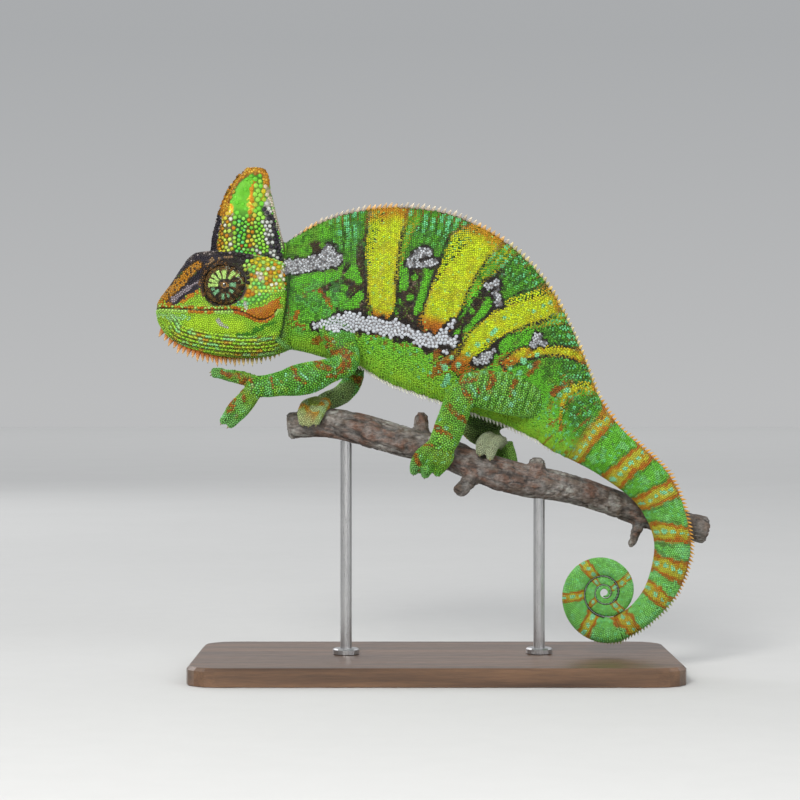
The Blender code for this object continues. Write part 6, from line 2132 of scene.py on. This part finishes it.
def build_perch(finish):
    """Bark over the branch: lengthwise furrows, knots and cracked plates cut into the wood."""
    points, triangles = node_arrays("perch_branch")
    shape = rounded(points, triangles, 50, 0.05)
    mesh = voxel_join("perch_bark", [shape], 0.62)
    points, triangles = mesh_arrays(mesh)
    _, even = smoother(mesh, points)
    for _ in range(6):
        points = even(points, 0.5)
        points = even(points, -0.52)
    soft = points
    for _ in range(26):
        soft = even(soft, 0.6)
    worn = ramp(0.25, 0.8, np.linalg.norm(soft - points, axis=1))
    points = points + (soft - points) * worn[:, None]
    normals = point_normals(points, triangles)
    middle, rows = node_axis(points)
    q = (points - middle) @ rows.T
    stretched = q * np.array([0.22, 1.0, 1.0])
    furrow = abs(noise(stretched, 1.5, 91) - 0.5) * 2
    coarse = noise(stretched, 3.2, 92)
    plates = abs(noise(q * np.array([0.55, 1.0, 1.0]), 4.2, 93) - 0.5) * 2
    fine = noise(q, 0.9, 94)
    cracks = 0.25 * (1 - ramp(0.0, 0.22, plates))
    depth = 0.45 * (1 - ramp(0.0, 0.35, furrow)) + 0.35 * (1 - coarse) + cracks
    knot = np.zeros(len(points))
    for *place, size in BRANCH_KNOTS:
        d = np.linalg.norm(points - place, axis=1)
        knot = np.maximum(knot, np.exp(-((d - size) / 0.8) ** 2) * 0.5)
        depth += 0.5 * np.exp(-(d / (size * 0.55)) ** 2)
        depth += 0.14 * np.sin(d * 4.2) * np.exp(-(d / (size * 1.8)) ** 2)
    depth = depth + 0.12 * fine - knot * 0.6
    points = points - normals * np.maximum(depth, 0.0)[:, None]
    # painted shade: the bark is darkened with depth, near black in the deepest furrows and cracks
    tone = ramp(0.9, 0.15, depth)
    colour = lay(plain((0.018, 0.012, 0.009), len(points)), (0.095, 0.066, 0.048), tone)
    patchy = noise(q * (0.45, 1, 1), 6.0, 95)
    colour = lay(colour, (0.120, 0.052, 0.030), ramp(0.42, 0.30, patchy) * tone * 0.75)
    worn_grey = ramp(0.50, 0.64, patchy) * ramp(0.30, 0.60, fine) * tone
    colour = lay(colour, (0.215, 0.195, 0.175), worn_grey * 0.85)
    lichen = ramp(0.62, 0.74, noise(q, 1.8, 97)) * ramp(0.5, 0.6, patchy)
    colour = lay(colour, (0.30, 0.30, 0.27), lichen * 0.7)
    obj = make_mesh("perch_bark", points, triangles, colour * (0.85 + 0.3 * fine)[:, None])
    put_number(obj.data, "rise", np.clip(1.2 - depth, 0, 1))
    bpy.data.meshes.remove(mesh)
    obj.data.materials.append(finish)
    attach(obj, "root")
    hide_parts("perch_branch")


# ---------------------------------------------------------------- materials
COLOUR, NUMBER, DIRECTION = "NodeSocketColor", "NodeSocketFloat", "NodeSocketVector"


def new_group(name, inputs, outputs):
    """Empty shader node group with named sockets."""
    group = bpy.data.node_groups.new(name, "ShaderNodeTree")
    for label, kind, value in inputs:
        socket = group.interface.new_socket(label, in_out="INPUT", socket_type=kind)
        if value is not None:
            socket.default_value = value
    for label, kind in outputs:
        group.interface.new_socket(label, in_out="OUTPUT", socket_type=kind)
    return group, group.nodes.new("NodeGroupInput"), group.nodes.new("NodeGroupOutput")


def fill(tree, socket, value):
    """Sets a socket to a number, a colour or another node's output."""
    if isinstance(value, bpy.types.NodeSocket):
        tree.links.new(value, socket)
    elif isinstance(value, tuple) and socket.type == "RGBA":
        socket.default_value = (*value, 1.0)
    else:
        socket.default_value = value


def math_node(tree, operation, a, b):
    """Result of one operation on two values."""
    node = tree.nodes.new("ShaderNodeMath")
    node.operation = operation
    fill(tree, node.inputs[0], a)
    fill(tree, node.inputs[1], b)
    return node.outputs[0]


def range_node(tree, value, low, high, to_low, to_high):
    """A value moved from one range to another."""
    node = tree.nodes.new("ShaderNodeMapRange")
    for socket, v in zip(node.inputs, (value, low, high, to_low, to_high)):
        fill(tree, socket, v)
    return node.outputs[0]


def mix_colour(tree, factor, a, b, blend="MIX"):
    """Two colours blended by a factor."""
    node = tree.nodes.new("ShaderNodeMix")
    node.data_type = "RGBA"
    node.blend_type = blend
    for socket, value in ((node.inputs[0], factor), (node.inputs[6], a), (node.inputs[7], b)):
        fill(tree, socket, value)
    return node.outputs[2]


def noise_node(tree, coordinates, scale, detail=3.0, rough=0.5):
    """Noise of a given scale."""
    node = tree.nodes.new("ShaderNodeTexNoise")
    for label, value in (("Scale", scale), ("Detail", detail), ("Roughness", rough), ("Vector", coordinates)):
        fill(tree, node.inputs[label], value)
    return node.outputs["Fac"]


def brightened(tree, colour, light):
    """A colour times a number."""
    grey = tree.nodes.new("ShaderNodeCombineColor")
    for socket in grey.inputs:
        fill(tree, socket, light)
    return mix_colour(tree, 1.0, colour, grey.outputs[0], "MULTIPLY")


def bump_node(tree, height, strength, distance):
    """Normal lifted by a height."""
    node = tree.nodes.new("ShaderNodeBump")
    for label, value in (("Height", height), ("Strength", strength), ("Distance", distance)):
        fill(tree, node.inputs[label], value)
    return node.outputs["Normal"]


def object_place(tree):
    """Place in the piece's own metres."""
    return tree.nodes.new("ShaderNodeTexCoord").outputs["Object"]


def attribute(tree, name, output):
    """Value that the mesh stores for each point."""
    node = tree.nodes.new("ShaderNodeAttribute")
    node.attribute_name = name
    return node.outputs[output]


def keratin_group():
    """Fine mottling, painted shade at the feet of scales and spikes, roughness and bump of skin, scales and
    horn.
    """
    group, start, end = new_group(
        "keratin_wear",
        [("Paint", COLOUR, None), ("Rise", NUMBER, 1.0), ("Foot Shade", NUMBER, 0.35),
         ("Mottle", NUMBER, 0.12), ("Strength", NUMBER, 0.4)],
        [("Colour", COLOUR), ("Roughness", NUMBER), ("Normal", DIRECTION)])
    take = start.outputs
    where = object_place(group)
    grain = noise_node(group, where, 2600.0, 2.0)
    cloud = noise_node(group, where, 420.0, 3.0)
    shade = range_node(group, take["Rise"], 0.0, 0.75, take["Foot Shade"], 1.0)
    spread = math_node(group, "MULTIPLY", math_node(group, "SUBTRACT", grain, 0.5), take["Mottle"])
    cloudy = math_node(group, "MULTIPLY", math_node(group, "SUBTRACT", cloud, 0.5), 0.30)
    uneven = math_node(group, "ADD", math_node(group, "ADD", spread, cloudy), 1.0)
    light = math_node(group, "MULTIPLY", shade, uneven)
    fill(group, end.inputs["Colour"], brightened(group, take["Paint"], light))
    fill(group, end.inputs["Roughness"], range_node(group, cloud, 0.3, 0.7, 0.46, 0.66))
    fill(group, end.inputs["Normal"], bump_node(group, grain, take["Strength"], 0.00006))
    return group


def grain_group():
    """Noise grain that darkens and lightens a colour and lifts a bump."""
    group, start, end = new_group(
        "surface_grain",
        [("Paint", COLOUR, None), ("Place", DIRECTION, None), ("Scale", NUMBER, 900.0), ("Dark", NUMBER, 0.8),
         ("Light", NUMBER, 1.2), ("Strength", NUMBER, 0.3), ("Distance", NUMBER, 0.0001)],
        [("Colour", COLOUR), ("Grain", NUMBER), ("Normal", DIRECTION)])
    take = start.outputs
    grain = noise_node(group, take["Place"], take["Scale"], 4.0, 0.6)
    light = range_node(group, grain, 0.3, 0.7, take["Dark"], take["Light"])
    fill(group, end.inputs["Colour"], brightened(group, take["Paint"], light))
    fill(group, end.inputs["Grain"], grain)
    fill(group, end.inputs["Normal"], bump_node(group, grain, take["Strength"], take["Distance"]))
    return group


def new_material(name, group, **values):
    """Material with a shader and one placed group; returns material, tree, shader and the group's outputs."""
    mat = bpy.data.materials.new(name)
    mat.use_nodes = True
    tree = mat.node_tree
    shader = tree.nodes["Principled BSDF"]
    use = tree.nodes.new("ShaderNodeGroup")
    use.node_tree = group
    for label, value in values.items():
        fill(tree, use.inputs[label.replace("_", " ")], value)
    fill(tree, shader.inputs["Base Color"], use.outputs["Colour"])
    fill(tree, shader.inputs["Normal"], use.outputs["Normal"])
    return mat, tree, shader, use


def skin_material(name, group, foot_shade, mottle, bump):
    """Skin, scales or horn in their painted colour."""
    mat, tree, shader, use = new_material(name, group, Foot_Shade=foot_shade, Mottle=mottle, Strength=bump)
    fill(tree, use.inputs["Paint"], attribute(tree, "paint", "Color"))
    fill(tree, use.inputs["Rise"], attribute(tree, "rise", "Fac"))
    fill(tree, shader.inputs["Roughness"], use.outputs["Roughness"])
    shader.inputs["Specular IOR Level"].default_value = 0.22
    return mat


def gloss_material(group):
    """Wet eyeball: painted iris and pupil under a clear coat."""
    mat, tree, shader, use = new_material("wet_eyeball", group, Scale=1800.0, Strength=0.0)
    fill(tree, use.inputs["Paint"], attribute(tree, "paint", "Color"))
    fill(tree, use.inputs["Place"], object_place(tree))
    shader.inputs["Roughness"].default_value = 0.12
    shader.inputs["Coat Weight"].default_value = 1.0
    shader.inputs["Coat Roughness"].default_value = 0.03
    return mat


def stretched_place(tree, scale, tilt=0.0):
    """Place turned and stretched, for long grain."""
    stretch = tree.nodes.new("ShaderNodeMapping")
    stretch.inputs["Scale"].default_value = scale
    stretch.inputs["Rotation"].default_value = (0.0, tilt, 0.0)
    fill(tree, stretch.inputs["Vector"], object_place(tree))
    return stretch.outputs["Vector"]


def bark_material(group):
    """Dry bark with pale dust."""
    mat, tree, shader, use = new_material("dry_bark", group, Scale=1300.0, Dark=0.5, Light=1.45, Strength=0.8,
                                          Distance=0.0003)
    dust = noise_node(tree, object_place(tree), 240.0, 4.0, 0.6)
    paint = attribute(tree, "paint", "Color")
    fill(tree, use.inputs["Paint"], mix_colour(tree, range_node(tree, dust, 0.40, 0.68, 0.05, 0.6), paint,
                                               (0.23, 0.222, 0.21)))
    fill(tree, use.inputs["Place"], stretched_place(tree, (0.4, 1.0, 1.0), math.radians(14.0)))
    fill(tree, shader.inputs["Roughness"], range_node(tree, use.outputs["Grain"], 0.2, 0.8, 0.95, 0.74))
    return mat


def wood_material(group):
    """Dark stained hardwood with long grain, for the base plate."""
    mat, tree, shader, use = new_material("stained_walnut", group, Scale=1900.0, Dark=0.72, Light=1.12,
                                          Strength=0.35)
    long = stretched_place(tree, (0.06, 1.0, 1.0))
    rings = range_node(tree, noise_node(tree, long, 110.0, 5.0, 0.6), 0.34, 0.68, 0.0, 1.0)
    fill(tree, use.inputs["Paint"], mix_colour(tree, rings, (0.060, 0.030, 0.015), (0.185, 0.098, 0.050)))
    fill(tree, use.inputs["Place"], long)
    fill(tree, shader.inputs["Roughness"], range_node(tree, use.outputs["Grain"], 0.3, 0.6, 0.50, 0.36))
    shader.inputs["Coat Weight"].default_value = 0.25
    shader.inputs["Coat Roughness"].default_value = 0.25
    return mat


def steel_material(group):
    """Brushed steel of the two rods."""
    mat, tree, shader, use = new_material("brushed_steel", group, Scale=4200.0, Dark=0.92, Light=1.06,
                                          Strength=0.2, Distance=0.00004)
    smear = noise_node(tree, object_place(tree), 90.0)
    fill(tree, use.inputs["Paint"], mix_colour(tree, smear, (0.44, 0.44, 0.45), (0.60, 0.60, 0.60)))
    fill(tree, use.inputs["Place"], stretched_place(tree, (1.0, 1.0, 0.05)))
    fill(tree, shader.inputs["Roughness"], range_node(tree, use.outputs["Grain"], 0.3, 0.7, 0.24, 0.42))
    shader.inputs["Metallic"].default_value = 1.0
    return mat


def floor_material(group):
    """Matt pale floor."""
    mat, tree, shader, use = new_material("pale_floor", group, Scale=60.0, Dark=0.99, Light=1.01,
                                          Strength=0.0)
    cloud = noise_node(tree, object_place(tree), 6.0)
    fill(tree, use.inputs["Paint"], mix_colour(tree, cloud, (0.57, 0.57, 0.56), (0.60, 0.60, 0.59)))
    fill(tree, use.inputs["Place"], object_place(tree))
    shader.inputs["Roughness"].default_value = 0.85
    shader.inputs["Specular IOR Level"].default_value = 0.15
    return mat


def room_light():
    """Even surroundings, a little brighter overhead, seen as a plain pale backdrop."""
    world = bpy.data.worlds.new("soft_room")
    world.use_nodes = True
    tree = world.node_tree
    parts = tree.nodes.new("ShaderNodeSeparateXYZ")
    fill(tree, parts.inputs[0], tree.nodes.new("ShaderNodeTexCoord").outputs["Generated"])
    up = range_node(tree, parts.outputs[2], 0.0, 0.5, 0.0, 1.0)
    glow = mix_colour(tree, up, (0.22, 0.224, 0.229), (0.405, 0.418, 0.44))
    back = mix_colour(tree, range_node(tree, parts.outputs[2], 0.0, 0.16, 0.0, 1.0), (0.50, 0.505, 0.51),
                      (0.40, 0.41, 0.42))
    seen = tree.nodes.new("ShaderNodeLightPath").outputs["Is Camera Ray"]
    fill(tree, tree.nodes["Background"].inputs[0], mix_colour(tree, seen, glow, back))
    return world


# ---------------------------------------------------------------- stage
FLOOR_REACH = 9.0                    # metres from the middle to the floor's edges
FLOOR_GAP = 0.0002                   # metres between the stand and the floor


def placed(obj):
    """Puts an object in the scene."""
    bpy.context.scene.collection.objects.link(obj)
    return obj


def area_light(name, place, aim, size, power, colour=(1, 1, 1)):
    """Round soft light, not seen by the camera itself."""
    light = bpy.data.lights.new(name, "AREA")
    light.shape = "DISK"
    light.size = size
    light.energy = power
    light.color = colour
    obj = placed(bpy.data.objects.new(name, light))
    obj.location = place
    obj.rotation_euler = (Vector(aim) - Vector(place)).to_track_quat("-Z", "Y").to_euler()
    obj.visible_camera = False


def build_stage(grain):
    """Pale floor, soft lights, even surroundings and the camera."""
    mesh = bpy.data.meshes.new("floor")
    corners = [(-1, -1), (1, -1), (1, 1), (-1, 1)]
    mesh.from_pydata([(x * FLOOR_REACH, y * FLOOR_REACH, -FLOOR_GAP) for x, y in corners], [], [(0, 1, 2, 3)])
    floor = placed(bpy.data.objects.new("floor", mesh))
    floor.data.materials.append(floor_material(grain))
    low, high = CAD_BOX
    middle = ((low[0] + high[0]) / 2, 0.0, (low[2] + high[2]) / 2)
    area_light("key_light", (-0.42, -1.25, 0.80), middle, 0.50, 20.0, (1.0, 0.985, 0.96))
    area_light("fill_light", (0.95, -1.0, 0.72), middle, 0.9, 5.8, (0.98, 0.99, 1.0))
    area_light("rear_fill", (-1.1, 1.3, 1.0), middle, 1.4, 8.0)
    area_light("sky_panel", (0.0, 6.6, 4.0), (0.0, 6.6, 0.0), 13.6, 290.0)
    bpy.context.scene.world = room_light()
    camera = bpy.data.cameras.new("camera")
    camera.lens = 100.0
    camera.sensor_width = 36.0
    obj = placed(bpy.data.objects.new("camera", camera))
    obj.location = Vector((VIEW_CENTRE[0], -VIEW_DEPTH, VIEW_CENTRE[1])) * MM
    obj.rotation_euler = (math.radians(90.0), 0.0, 0.0)
    bpy.context.scene.camera = obj
    bpy.context.scene.view_settings.view_transform = "Standard"


# ---------------------------------------------------------------- assembly
def paint_skin(flesh):
    """Colours of the skin itself: the same markings as its coat, darkened as painted shade between the
    scales.
    """
    points, region = flesh.points, flesh.region
    colour = np.zeros((len(points), 3))
    own = in_nodes(region, BODY_NODES)
    colour[own] = body_paint(flesh.s[own], flesh.t[own], points[own], 0.5)
    own = in_nodes(region, HEAD_NODES)
    colour[own] = head_paint(points[own], head_kind(region[own]), noise(points[own], 1.1, 23))
    for name in LIMB_NODES + TOE_NODES:
        own = region == FLESH_NODES.index(name)
        if own.any():
            share, inner = limb_share(name, points[own], flesh), limb_side(name, points[own], flesh)
            colour[own] = limb_paint(points[own], name, share, inner)
    # yellow and orange skin is lightened, so the painted shade in the gaps between scales is weaker there
    colour = colour * (1 + 0.5 * ramp(0.22, 0.34, colour[:, 0]))[:, None]
    casque = in_nodes(region, ["casque"])[:, None]
    smooth = plate_share(points)[:, None]
    border = ramp(203.0, 209.0, points[:, 2])[:, None]
    limbs = in_nodes(region, LIMB_NODES + TOE_NODES)[:, None]
    # painted shade between the scales: the skin is darkened, more on the limbs and the lower casque, and
    # lighter on the casque's bare smooth plate
    share = np.where(casque, 0.32 + 0.6 * border + 1.5 * smooth, np.where(limbs, 0.72, 1.0))
    return colour * share * np.array((0.50, 0.46, 0.42))


def main():
    """Builds all pieces, their materials and the stage."""
    rng = np.random.default_rng(7)
    group = keratin_group()
    grain = grain_group()
    skin_finish = skin_material("living_skin", group, 0.40, 0.25, 0.5)
    scale_finish = skin_material("scale_keratin", group, 0.34, 0.16, 0.35)
    horn_finish = skin_material("horn_cream", group, 0.70, 0.22, 0.5)
    gloss_finish = gloss_material(grain)

    flesh = Flesh()
    skin = make_mesh("chameleon_skin", flesh.points, flesh.triangles, paint_skin(flesh))
    # rise 0.5: the material darkens the skin further, as painted shade between the scales
    put_number(skin.data, "rise", np.full(len(flesh.points), 0.5))
    bpy.data.meshes.remove(flesh.mesh)
    skin.data.materials.append(skin_finish)
    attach(skin, "root")
    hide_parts(*FLESH_NODES)

    coat = Coat()
    lip_coat(flesh, coat, rng)
    throat_coat(flesh, coat, rng)
    head_coat(flesh, coat, rng)
    stripe_coat(flesh, coat, rng)
    limb_coat(flesh, coat, rng)
    body_coat(flesh, coat)
    coat.cull(CROWDED)
    for name, side in (("left", -1), ("right", 1)):
        opening = build_turret(name, side, skin_finish)
        turret_coat(name, side, coat, rng)
        build_eyeball(name, side, opening, gloss_finish)
    coat.build(scale_finish)

    back_crest(rng, horn_finish)
    belly_crest(rng, horn_finish)
    throat_crest(flesh, rng, horn_finish)
    claws(flesh, horn_finish)

    build_perch(bark_material(grain))
    steel = steel_material(grain)
    wood = wood_material(grain)
    for name, mat in (("stand_base", wood), ("stand_rod_front", steel), ("stand_rod_rear", steel)):
        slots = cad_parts[name].data.materials
        if len(slots):
            slots[0] = mat
        else:
            slots.append(mat)
    build_stage(grain)


main()
